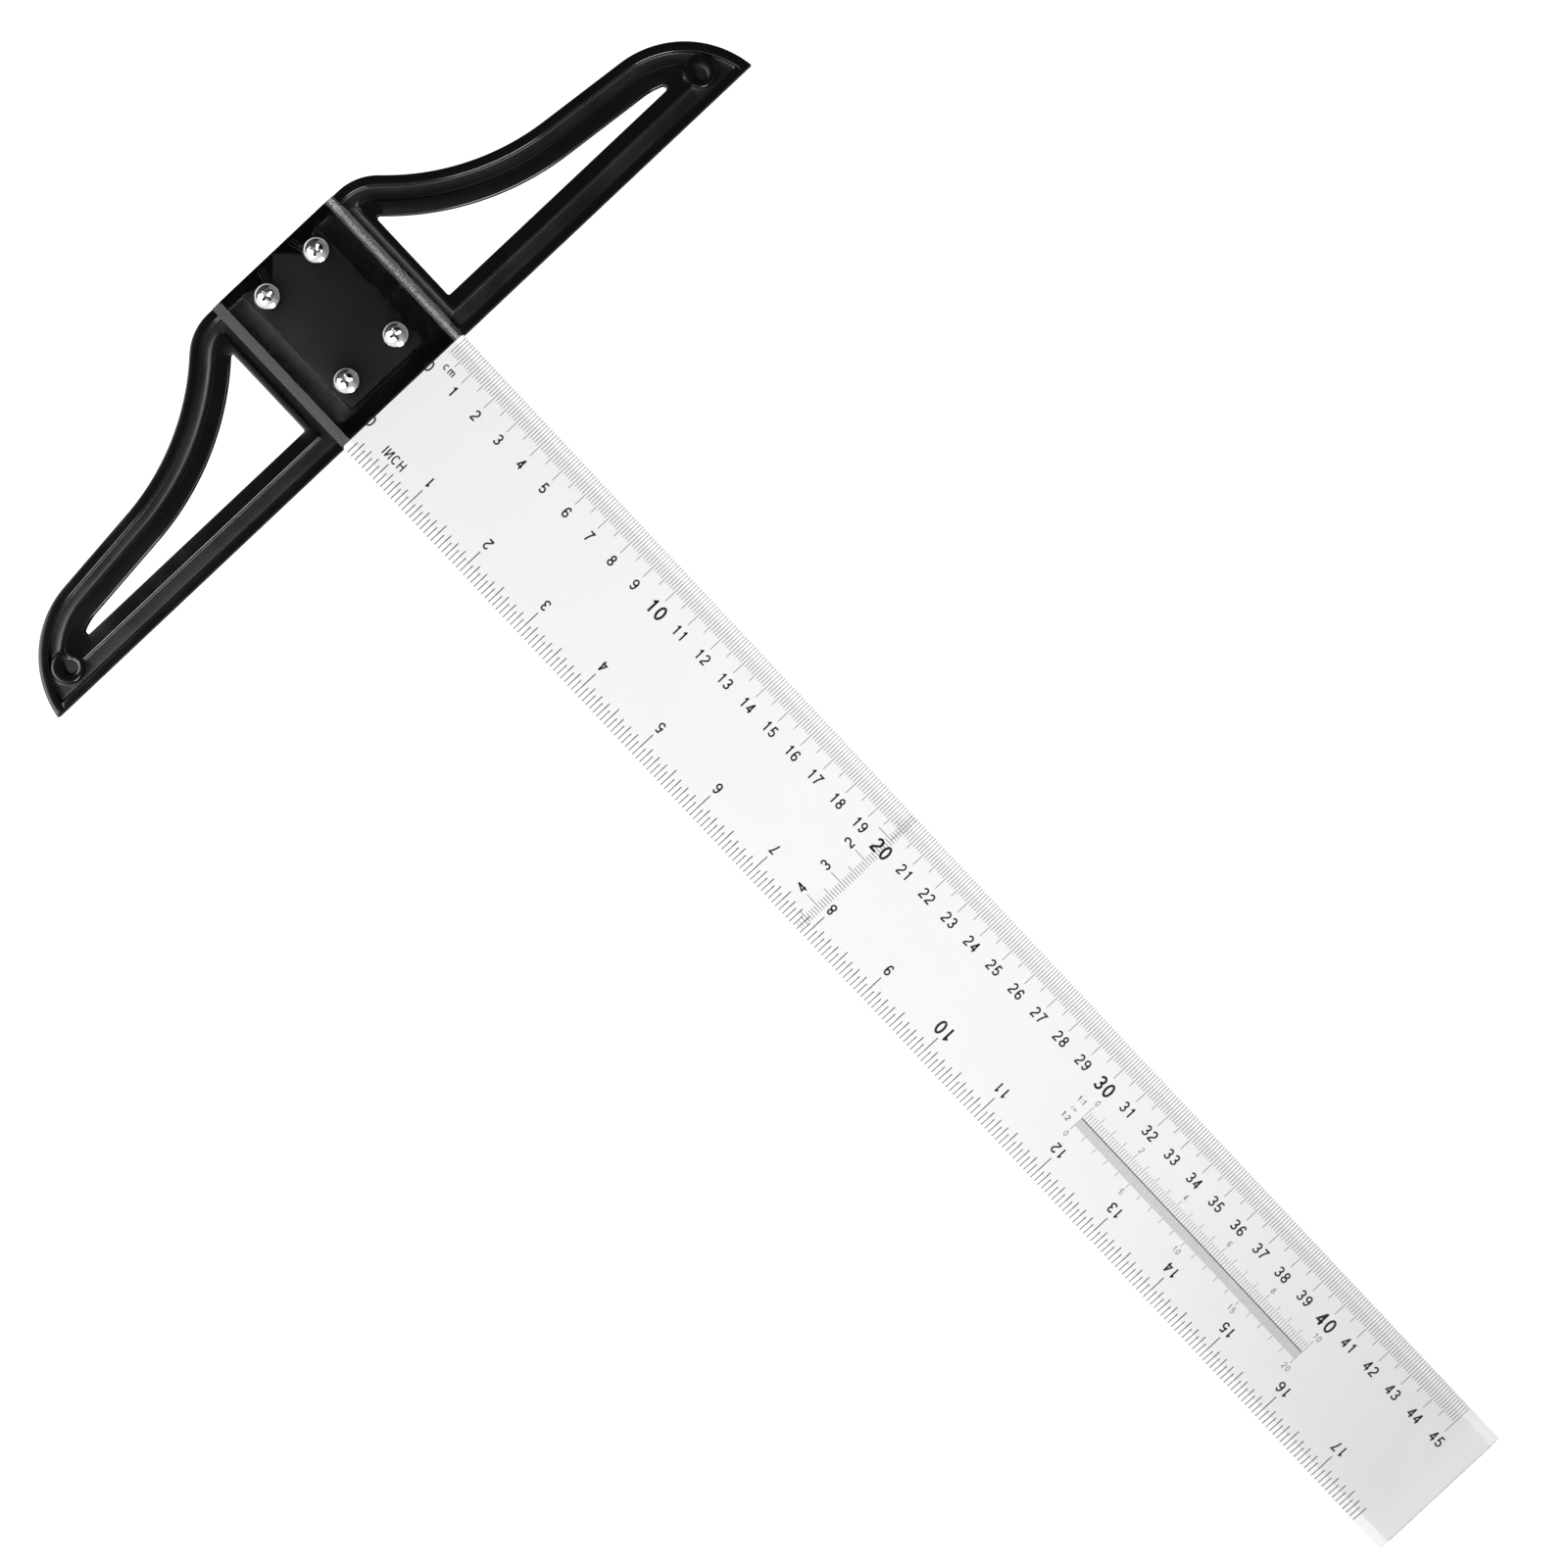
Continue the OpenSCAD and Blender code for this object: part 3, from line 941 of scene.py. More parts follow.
@dataclass
class Blade:
    """The clear blade: polished faces, a milled bevel along both ruling edges.

    Sizes are in mm. Its underside is lifted a hair off the head, so the two never share a face.
    """

    bevel_w: float = 3.3
    land: float = 0.8
    round_r: float = 0.12
    lift: float = 0.02
    hole_r: float = 2.3
    smooth_deg: float = 20.0
    screws: list = field(default_factory=list)

    def heights(self, p: Points, lo: Points, hi: Points) -> tuple[Points, Points]:
        """Top: the lower of the face and the bevel's slant; both eased at the plate's rim.

        Args:
            p: N by 2 positions.
            lo: least corner of the blade's box.
            hi: greatest corner of the blade's box.

        Returns:
            Heights of the top and of the underside, in mm.
        """
        rim = np.minimum.reduce([p[:, 0] - lo[0], hi[0] - p[:, 0], hi[1] - np.abs(p[:, 1])])
        out = hi[1] - np.abs(p[:, 1])
        slant = self.land + (hi[2] - self.land) * out / self.bevel_w
        ease = rounded(np.maximum(rim, 0), self.round_r)
        return np.minimum(hi[2], slant) - ease, self.lift + ease

    def build(self, polished: bpy.types.Material, milled: bpy.types.Material) -> bpy.types.Object:
        """Meshes the blade, with its bevels and ends in the milled finish.

        Args:
            polished: finish of the faces.
            milled: finish of the bevels and the two sawn ends.

        Returns:
            The blade's object.
        """
        lo, hi = (np.array(c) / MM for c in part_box("blade"))
        corners = [(lo[0], lo[1]), (hi[0], lo[1]), (hi[0], hi[1]), (lo[0], hi[1]), (lo[0], lo[1])]
        loop = np.concatenate([line(a, b, step)[:-1] for a, b, step
                               in zip(corners[:-1], corners[1:], (6, 2, 6, 2))])
        rows = []
        for t in (0.03, self.round_r):
            rows.append(line((lo[0] + t, hi[1] - t), (hi[0] - t, hi[1] - t), 6))
            rows += [line((x, 0), (x, hi[1] - t), 2) for x in (lo[0] + t, hi[0] - t)]
        crease = hi[1] - self.bevel_w
        rows.append(line((lo[0] + 0.2, crease), (hi[0] - 0.2, crease), 6))
        holes = [arc([sx, sy], self.hole_r, 0, 360, 10)[:-1] for sx, sy in self.screws]
        body = Relief([loop, *holes], mirrored(rows))
        verts, faces = body.solid(*self.heights(body.xy, lo, hi))
        x, y, z = verts[faces].mean(axis=1).T / MM
        on_bevel = hi[1] - np.abs(y) < self.bevel_w - 0.02
        cut = on_bevel & (z > self.lift + self.round_r + 0.01)
        cut |= (x > hi[0] - 0.03) | (x < lo[0] + 0.03)
        obj = mesh_object("clear_blade", verts, faces, polished, self.smooth_deg,
                          cut.astype(int), (milled,))
        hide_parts("blade")
        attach(obj, "square")
        return obj


def oval(cx: float, cy: float, rx: float, ry: float, start: float, end: float) -> Points:
    """Points of an upright ellipse: centre plus (rx cos a, ry sin a).

    Args:
        cx: x of the centre.
        cy: y of the centre.
        rx: half width.
        ry: half height.
        start: first angle in degrees.
        end: last angle in degrees.

    Returns:
        N by 2 positions, about 14 degrees apart.
    """
    count = max(5, int(abs(end - start) / 14) + 1)
    a = np.radians(np.linspace(start, end, count))
    return np.stack([cx + rx * np.cos(a), cy + ry * np.sin(a)], axis=1)


def stroke(*parts: Points | list) -> Points:
    """One path through all its parts."""
    return np.concatenate([np.atleast_2d(np.asarray(part, float)) for part in parts])


# Strokes of each sign, with the sign one high and its lower left corner at zero. The sign "n" is
# a capital N turned over, as it stands on the blade.
SIX = [oval(0.28, 0.29, 0.215, 0.235, 0, 360),
       stroke(oval(0.29, 0.5, 0.225, 0.445, 38, 180), [0.065, 0.32])]
STROKES = {
    "0": [oval(0.275, 0.5, 0.22, 0.445, 0, 360)],
    "1": [stroke([0.33, 0], [0.33, 1]), stroke([0.345, 0.95], [0.27, 0.82], [0.12, 0.76])],
    "2": [stroke(oval(0.275, 0.69, 0.215, 0.255, 165, -38), [0.3, 0.4], [0.13, 0.24],
                 [0.07, 0.13], [0.06, 0.055], [0.5, 0.055])],
    "3": [stroke(oval(0.265, 0.725, 0.195, 0.22, 165, -80), [0.22, 0.51]),
          stroke([0.22, 0.51], oval(0.265, 0.275, 0.22, 0.22, 80, -165))],
    "4": [stroke([0.385, 0], [0.385, 1]), stroke([0.37, 0.93], [0.06, 0.275], [0.53, 0.275])],
    "5": [stroke([0.47, 0.945], [0.14, 0.945], [0.085, 0.49],
                 oval(0.27, 0.31, 0.22, 0.25, 128, -160))],
    "6": SIX,
    "7": [stroke([0.05, 0.945], [0.5, 0.945], [0.36, 0.7], [0.26, 0.45], [0.2, 0.2], [0.18, 0])],
    "8": [oval(0.275, 0.735, 0.18, 0.21, 0, 360), oval(0.275, 0.275, 0.22, 0.22, 0, 360)],
    "9": [[0.55, 1.0] - path for path in SIX],
    "c": [oval(0.24, 0.33, 0.185, 0.275, 42, 318)],
    "m": [stroke([0.06, 0], [0.06, 0.62]), stroke(oval(0.21, 0.42, 0.15, 0.15, 180, 0), [0.36, 0]),
          stroke(oval(0.51, 0.42, 0.15, 0.15, 180, 0), [0.66, 0])],
    "I": [stroke([0.06, 0], [0.06, 1])],
    "n": [stroke([0.06, 0], [0.06, 1]), stroke([0.06, 0], [0.56, 1]), stroke([0.56, 0], [0.56, 1])],
    "C": [oval(0.33, 0.5, 0.275, 0.445, 45, 315)],
    "H": [stroke([0.06, 0], [0.06, 1]), stroke([0.56, 0], [0.56, 1]),
          stroke([0.06, 0.52], [0.56, 0.52])],
    ":": [stroke([0.06, 0.06], [0.06, 0.18]), stroke([0.06, 0.58], [0.06, 0.7])],
}
WIDTH = {sign: 0.55 for sign in "0123456789"} | {
    "c": 0.48, "m": 0.72, "I": 0.12, "n": 0.62, "C": 0.62, "H": 0.62, ":": 0.12}
SIGN_GAP = 0.22
ADVANCE = {sign: wide + SIGN_GAP for sign, wide in WIDTH.items()}


@dataclass(frozen=True)
class Lettering:
    """One printed text, centred on x and y, in mm and degrees; weight is the stroke to height."""

    text: str
    x: float
    y: float
    height: float
    turn: float = 0.0
    weight: float = 0.16


@dataclass
class PrintedRules:
    """The rules printed on the blade's underside: thin blocks of ink, and figures.

    Sizes are in mm. The ends of ticks are given for the longest, the middle and the shortest.
    """

    tick_w: float = 0.34
    fine_w: float = 0.2
    full_w: float = 0.14
    half_w: float = 0.15
    bar_w: float = 0.32
    ink_z: float = 0.06
    ink_t: float = 0.03
    margin: float = 0.3
    inch: float = 25.4
    cm_ends: tuple = (14.4, 16.3, 18.3)
    inch_ends: tuple = (-16.2, -18.3, -19.3, -20.7)
    cross_x: float = 201.3
    cross_lengths: tuple = (6.8, 4.6, 2.8)
    scale_x: float = 302.3
    scale_y: float = -1.0
    scale_mm: float = 0.993
    full_ends: tuple = (3.9, 2.2)
    half_ends: tuple = (-6.0, -4.1)
    full_step: float = 19.86
    half_step: float = 24.83
    figure_h: float = 3.5
    tens_h: float = 4.6
    small_h: float = 2.0
    tens_weight: float = 0.17
    small_weight: float = 0.1
    cm_y: float = 11.0
    inch_y: float = -13.0
    tens_drop: float = 0.3

    def blocks(self, boxes: Points) -> tuple[Points, Points]:
        """Flat blocks of ink, each with eight corners and six faces.

        Args:
            boxes: N rows of x0, x1, y0, y1.

        Returns:
            Vertices in metres and faces.
        """
        z0, z1 = self.ink_z, self.ink_z + self.ink_t
        n = len(boxes)
        x = boxes[:, [0, 1, 1, 0, 0, 1, 1, 0]]
        y = boxes[:, [2, 2, 3, 3, 2, 2, 3, 3]]
        z = np.tile([z0] * 4 + [z1] * 4, (n, 1))
        verts = np.stack([x, y, z], axis=2).reshape(-1, 3) * MM
        quads = np.array([[3, 2, 1, 0], [4, 5, 6, 7], [0, 1, 5, 4],
                          [1, 2, 6, 5], [2, 3, 7, 6], [3, 0, 4, 7]])
        faces = (quads[None] + 8 * np.arange(n)[:, None, None]).reshape(-1, 4)
        return verts, faces

    def ticks(self, at: Points, end: Points, start: float, width: float) -> Points:
        """Parallel lines that run from one coordinate to another.

        Args:
            at: place of each line, across its length.
            end: where each line ends.
            start: where they all start.
            width: width of a line.

        Returns:
            N rows of at0, at1, low, high.
        """
        low, high = np.minimum(end, start), np.maximum(end, start)
        return np.stack([at - width / 2, at + width / 2, low, high], axis=1)

    def centimetre_rule(self, edge: float) -> Points:
        """Ticks each mm from 0 to 450, longer each 5 and 10.

        Args:
            edge: half the width of the blade, less the margin.

        Returns:
            N rows of x0, x1, y0, y1.
        """
        k = np.arange(1.0, 451.0)
        ten, five, one = self.cm_ends
        end = np.where(k % 10 == 0, ten, np.where(k % 5 == 0, five, one))
        return self.ticks(k, end, edge, self.fine_w)

    def inch_rule(self, edge: float) -> Points:
        """Ticks each sixteenth from 0 to 17 3/4 in, longer each 1/8, 1/2 and 1.

        Args:
            edge: half the width of the blade, less the margin.

        Returns:
            N rows of x0, x1, y0, y1.
        """
        k = np.arange(1, 16 * 17 + 13)
        whole, half, eighth, sixteenth = self.inch_ends
        end = np.where(k % 2 == 0, eighth, sixteenth)
        end = np.where(k % 16 == 0, whole, np.where(k % 8 == 0, half, end))
        return self.ticks(k * self.inch / 16, end, -edge, self.tick_w)

    def cross_rule(self, edge: float) -> Points:
        """Ticks each mm across the blade, longer each 5 and 10, zero at the cm edge.

        Args:
            edge: half the width of the blade, less the margin.

        Returns:
            N rows of x0, x1, y0, y1.
        """
        k = np.arange(1.0, int(2 * edge))
        ten, five, one = self.cross_lengths
        length = np.where(k % 10 == 0, ten, np.where(k % 5 == 0, five, one))
        rows = self.ticks(edge - k, self.cross_x - length, self.cross_x, self.fine_w)
        return rows[:, [2, 3, 0, 1]]

    def scales(self) -> Points:
        """The pair of 100 mm scales, full size above the line and half size below it.

        Returns:
            N rows of x0, x1, y0, y1.
        """
        k, halves = np.arange(0, 101), np.arange(0, 201)
        up = np.where(k % 5 == 0, *self.full_ends)
        down = np.where(halves % 10 == 0, *self.half_ends)
        full = self.ticks(self.scale_x + k * self.scale_mm, up, self.scale_y, self.full_w)
        half = self.ticks(self.scale_x + halves * self.scale_mm / 2, down, self.scale_y, self.half_w)
        y, reach = self.bar_w / 2, 100 * self.scale_mm
        bar = [[self.scale_x, self.scale_x + reach, self.scale_y - y, self.scale_y + y]]
        return np.concatenate([full, half, bar])

    def numbers(self, last: int, pitch: float, y: float, turn: float) -> list[Lettering]:
        """The figures of one edge rule, larger and a little lower at each ten.

        Args:
            last: last number.
            pitch: distance between numbers.
            y: centre line of the figures.
            turn: turn of the figures in degrees.

        Returns:
            One lettering for each number from 1.
        """
        made = []
        for k in range(1, last + 1):
            if k % 10 == 0:
                made.append(Lettering(str(k), pitch * k, y - self.tens_drop, self.tens_h, turn,
                                      self.tens_weight))
            else:
                made.append(Lettering(str(k), pitch * k, y, self.figure_h, turn))
        return made

    def figures(self) -> list[Lettering]:
        """Lists the numbers and words, in the order of the rules that they belong to.

        Returns:
            One lettering for each.
        """
        small = {"height": self.small_h, "weight": self.small_weight}
        made = [Lettering("0", -0.3, self.cm_y, self.figure_h)]
        made += self.numbers(45, 10.0, self.cm_y, 0.0)
        made.append(Lettering("cm", 4.7, 14.9, 2.9, weight=0.14))
        made.append(Lettering("0", -0.3, self.inch_y - 0.2, self.figure_h, 180.0))
        made += self.numbers(17, self.inch, self.inch_y, 180.0)
        made.append(Lettering("InCH", 12.7, -15.9, 3.1, weight=0.15))
        made += [Lettering(str(k), 191.8, 25.0 - 10 * k, self.figure_h, 90.0) for k in (2, 3, 4)]
        made += [Lettering("1:1", 298.3, 2.8, 1.8), Lettering("1:2", 298.3, -4.0, 1.8)]
        made.append(Lettering("cm", 298.5, -0.6, 1.4, weight=self.small_weight))
        made += [Lettering(str(2 * k), self.scale_x + self.full_step * k, 5.6, **small)
                 for k in range(6)]
        made += [Lettering(str(5 * k), self.scale_x + self.half_step * k, -7.6, **small)
                 for k in range(5)]
        return made

    def lettering(self) -> tuple[Points, Points]:
        """Thin ribbons of ink along the strokes of each sign, turned and placed.

        Returns:
            Vertices in metres and faces.
        """
        verts, faces, start = [], [], 0
        for one in self.figures():
            a = math.radians(one.turn)
            spin = np.array([[math.cos(a), -math.sin(a)], [math.sin(a), math.cos(a)]])
            at = -sum(ADVANCE[sign] for sign in one.text) / 2
            for sign in one.text:
                for path in STROKES[sign]:
                    placed = (path + [at + SIGN_GAP / 2, -0.5]) * one.height @ spin.T
                    v, f = self.ribbon(placed + [one.x, one.y], one.weight * one.height)
                    verts.append(v)
                    faces.append(f + start)
                    start += len(v)
                at += ADVANCE[sign]
        return np.concatenate(verts), np.concatenate(faces)

    def ribbon(self, path: Points, width: float) -> tuple[Points, Points]:
        """A flat closed bar along a path: each corner's offset runs along its mitre.

        The mitre is the sum of the two sides' normals over half its squared length.

        Args:
            path: N by 2 corners.
            width: width of the bar.

        Returns:
            Vertices in metres and faces.
        """
        run = np.diff(path, axis=0)
        run /= np.maximum(np.hypot(*run.T), 1e-9)[:, None]
        side = np.stack([-run[:, 1], run[:, 0]], axis=1)
        before, after = np.concatenate([side[:1], side]), np.concatenate([side, side[-1:]])
        if np.hypot(*(path[0] - path[-1])) < 1e-6:
            before[0], after[-1] = side[-1], side[0]
        mitre = before + after
        mitre /= np.maximum((mitre ** 2).sum(1) / 2, 0.35)[:, None]
        off = mitre * width / 2
        n = len(path)
        flat = np.concatenate([path + off, path - off])
        low = np.column_stack([flat, np.full(2 * n, self.ink_z)])
        high = np.column_stack([flat, np.full(2 * n, self.ink_z + self.ink_t)])
        k = np.arange(n - 1)
        l0, r0 = k, k + n
        quads = [np.stack([l0 + 2 * n, r0 + 2 * n, r0 + 2 * n + 1, l0 + 2 * n + 1], 1),
                 np.stack([l0, l0 + 1, r0 + 1, r0], 1),
                 np.stack([l0, l0 + 2 * n, l0 + 2 * n + 1, l0 + 1], 1),
                 np.stack([r0, r0 + 1, r0 + 2 * n + 1, r0 + 2 * n], 1),
                 np.array([[0, n, 3 * n, 2 * n], [n - 1, 3 * n - 1, 4 * n - 1, 2 * n - 1]])]
        return np.concatenate([low, high]) * MM, np.concatenate(quads)

    def build(self, ink: bpy.types.Material, fine_ink: bpy.types.Material) -> list[bpy.types.Object]:
        """Meshes the two edge rules, the cross rule, the pair of scales and the figures.

        Args:
            ink: finish of the figures.
            fine_ink: finish of the ticks.

        Returns:
            The five objects.
        """
        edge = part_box("blade")[1][1] / MM - self.margin
        groups = {"centimetre_rule": self.centimetre_rule(edge),
                  "inch_rule": self.inch_rule(edge),
                  "cross_rule": self.cross_rule(edge),
                  "reduction_scales": self.scales()}
        made = [mesh_object(name, *self.blocks(boxes), fine_ink) for name, boxes in groups.items()]
        made.append(mesh_object("figures", *self.lettering(), ink))
        for obj in made:
            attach(obj, "square")
        return made


# ---------------------------------------------------------------- screws

@dataclass
class PanScrew:
    """A pan head screw: crowned head with a cross recess, and a threaded shank.

    Sizes are in mm. turn is how far the recess is turned, in degrees. The recess is a cross of
    two slots with rounded ends and a slanted web between them, over walls of wall_w and a bottom
    that rises from the middle by bottom_slope.
    """

    number: int
    x: float
    y: float
    turn: float
    pan_r: float = 4.0
    pan_h: float = 3.1
    crown_r: float = 6.5
    edge_r: float = 0.55
    recess: float = 2.0
    slot_w: float = 1.0
    recess_depth: float = 1.9
    least_depth: float = 0.3
    bottom_slope: float = 0.55
    web_reach: float = 1.15
    web_slant: float = 0.7
    wall_w: float = 0.16
    pitch: float = 0.7
    thread_r: float = 2.0
    core_r: float = 1.62
    plain_len: float = 0.7
    plain_r: float = 1.95
    point_len: float = 0.5
    point_r: float = 1.32
    point_grow: float = 0.68
    around: int = 32
    per_turn: int = 8
    smooth_deg: float = 35.0

    def spin(self) -> Points:
        """The matrix that turns a place on the blade into the recess's own axes."""
        a = math.radians(self.turn)
        return np.array([[math.cos(a), math.sin(a)], [-math.sin(a), math.cos(a)]])

    def cross(self, p: Points) -> Points:
        """Distance into the cross recess: the greatest of those into two slots and the web.

        Args:
            p: N by 2 positions.

        Returns:
            N distances, positive in the recess.
        """
        q = np.abs((p - [self.x, self.y]) @ self.spin().T)
        w = self.slot_w / 2
        one = w - np.hypot(np.maximum(q[:, 0] - self.recess + w, 0), q[:, 1])
        two = w - np.hypot(q[:, 0], np.maximum(q[:, 1] - self.recess + w, 0))
        web = (self.web_reach - (q[:, 0] + q[:, 1])) * self.web_slant
        return np.maximum.reduce([one, two, web])

    def head_height(self, p: Points) -> Points:
        """Crown: a sphere cap, with its rim rounded and the recess sunk with tapered walls.

        Args:
            p: N by 2 positions.

        Returns:
            Heights over the seat of the head.
        """
        r = np.hypot(p[:, 0] - self.x, p[:, 1] - self.y)
        cap = self.pan_h - self.crown_r + np.sqrt(self.crown_r ** 2 - r ** 2)
        cap = cap - rounded(np.maximum(self.pan_r - r, 0), self.edge_r)
        sunk = np.maximum(self.recess_depth - self.bottom_slope * r, self.least_depth)
        return cap - np.clip(self.cross(p) / self.wall_w, 0, 1) * sunk

    def rows(self) -> list[Points]:
        """Circles of the crown and the outline of the recess at three depths of its wall.

        The outline is found along rays from the centre, as the last step that is in the recess.

        Returns:
            Closed paths.
        """
        centre = [self.x, self.y]
        made = [arc(centre, r, 0, 360, 6) for r in (3.96, 3.85, 3.7, 3.5, 3.2, 2.9, 2.6, 2.3)]
        angles = np.radians(np.arange(0, 360.1, 3))
        ray = np.stack([np.cos(angles), np.sin(angles)], axis=1)
        reach = np.linspace(0.3, 2.3, 161)
        grid = (ray[:, None] * reach[None, :, None]).reshape(-1, 2) @ self.spin() + centre
        into = self.cross(grid).reshape(len(ray), len(reach))
        for t in (0.0, self.wall_w / 2, self.wall_w):
            last = np.max(np.where(into > t, reach, reach[0]), axis=1)
            made.append(ray * last[:, None] @ self.spin() + centre)
        made.append(arc(centre, 0.25, 0, 360, 30))
        return made

    def shank(self, length: float, top: float) -> tuple[Points, Points]:
        """Thread as a surface of turn a and height z: radius follows the phase of z / pitch - a.

        The first stretch is plain and the last one tapers to the point.

        Args:
            length: length of the shank.
            top: height at which it starts, which is the blade's upper face.

        Returns:
            Vertices in metres and triangles, with both ends closed.
        """
        around = self.around
        z = np.arange(0, length + 1e-6, self.pitch / self.per_turn)
        a = np.linspace(0, 2 * np.pi, around, endpoint=False)
        zz, aa = np.meshgrid(z, a, indexing="ij")
        phase = np.abs(((zz / self.pitch - aa / (2 * np.pi)) % 1.0) * 2 - 1)
        r = self.core_r + (self.thread_r - self.core_r) * np.clip(phase * 1.25 - 0.1, 0, 1)
        taper = np.clip((length - zz) / self.point_len, 0, 1)
        point = np.minimum(r, self.point_r + taper * self.point_grow)
        r = np.where(zz > length - self.point_len, point, r)
        r = np.where(zz < self.plain_len, self.plain_r, r)
        ring = np.stack([self.x + r * np.cos(aa), self.y + r * np.sin(aa), top - zz], axis=2)
        ends = np.array([[self.x, self.y, top], [self.x, self.y, top - z[-1]]])
        verts = np.concatenate([ring.reshape(-1, 3), ends]) * MM
        i, j = np.meshgrid(np.arange(len(z) - 1), np.arange(around), indexing="ij")
        a0, a1 = i * around + j, i * around + (j + 1) % around
        b0, b1 = a0 + around, a1 + around
        sides = np.concatenate([np.stack([a0, b0, b1], 2).reshape(-1, 3),
                                np.stack([a0, b1, a1], 2).reshape(-1, 3)])
        k = np.arange(around)
        count = len(z) * around
        cap = np.stack([np.full(around, count), k, (k + 1) % around], 1)
        base = (len(z) - 1) * around
        end = np.stack([np.full(around, count + 1), base + (k + 1) % around, base + k], 1)
        return verts, np.concatenate([sides, cap, end])

    def build(self, plated: bpy.types.Material, shaded: bpy.types.Material) -> bpy.types.Object:
        """Meshes the screw and gives the walls of its recess a darker nickel, which is painted shade.

        Args:
            plated: finish of the screw.
            shaded: darker nickel of the recess walls, painted shade.

        Returns:
            The screw's object.
        """
        node = f"screw_{self.number}"
        lo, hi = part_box(node)
        seat = hi[2] / MM - self.pan_h
        rim = arc([self.x, self.y], self.pan_r, 0, 360, 6)[:-1]
        body = Relief([rim], self.rows())
        top = self.head_height(body.xy) + seat
        head_v, head_f = body.solid(top, np.full(len(top), seat))
        blade_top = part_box("blade")[1][2] / MM
        shank_v, shank_f = self.shank(seat - lo[2] / MM, blade_top)
        faces = np.concatenate([head_f, shank_f + len(head_v)])
        into = self.cross(body.xy[body.tris].mean(axis=1))
        slots = np.zeros(len(faces), int)
        # The recess walls take the darker nickel: painted shade in the recess.
        slots[:len(body.tris)] = (into > 0.0) & (into < self.wall_w + 0.01)
        obj = mesh_object(f"pan_screw_{self.number}", np.concatenate([head_v, shank_v]), faces,
                          plated, self.smooth_deg, slots, (shaded,))
        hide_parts(node)
        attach(obj, node)
        return obj


# ---------------------------------------------------------------- studio

@dataclass(frozen=True)
class SoftBox:
    """A rectangular area light that the camera doesn't see; sizes are in metres."""

    name: str
    place: tuple
    aim: tuple
    size: tuple
    radiance: float

    def build(self) -> None:
        """Adds the light; its power is radiance times pi times its area."""
        data = bpy.data.lights.new(self.name, "AREA")
        data.shape, data.size, data.size_y = "RECTANGLE", *self.size
        data.energy = self.radiance * math.pi * self.size[0] * self.size[1]
        obj = bpy.data.objects.new(self.name, data)
        bpy.context.scene.collection.objects.link(obj)
        obj.location = self.place
        turn = (Vector(self.aim) - Vector(self.place)).to_track_quat("-Z", "Y")
        obj.rotation_euler = turn.to_euler()
        obj.visible_camera = False


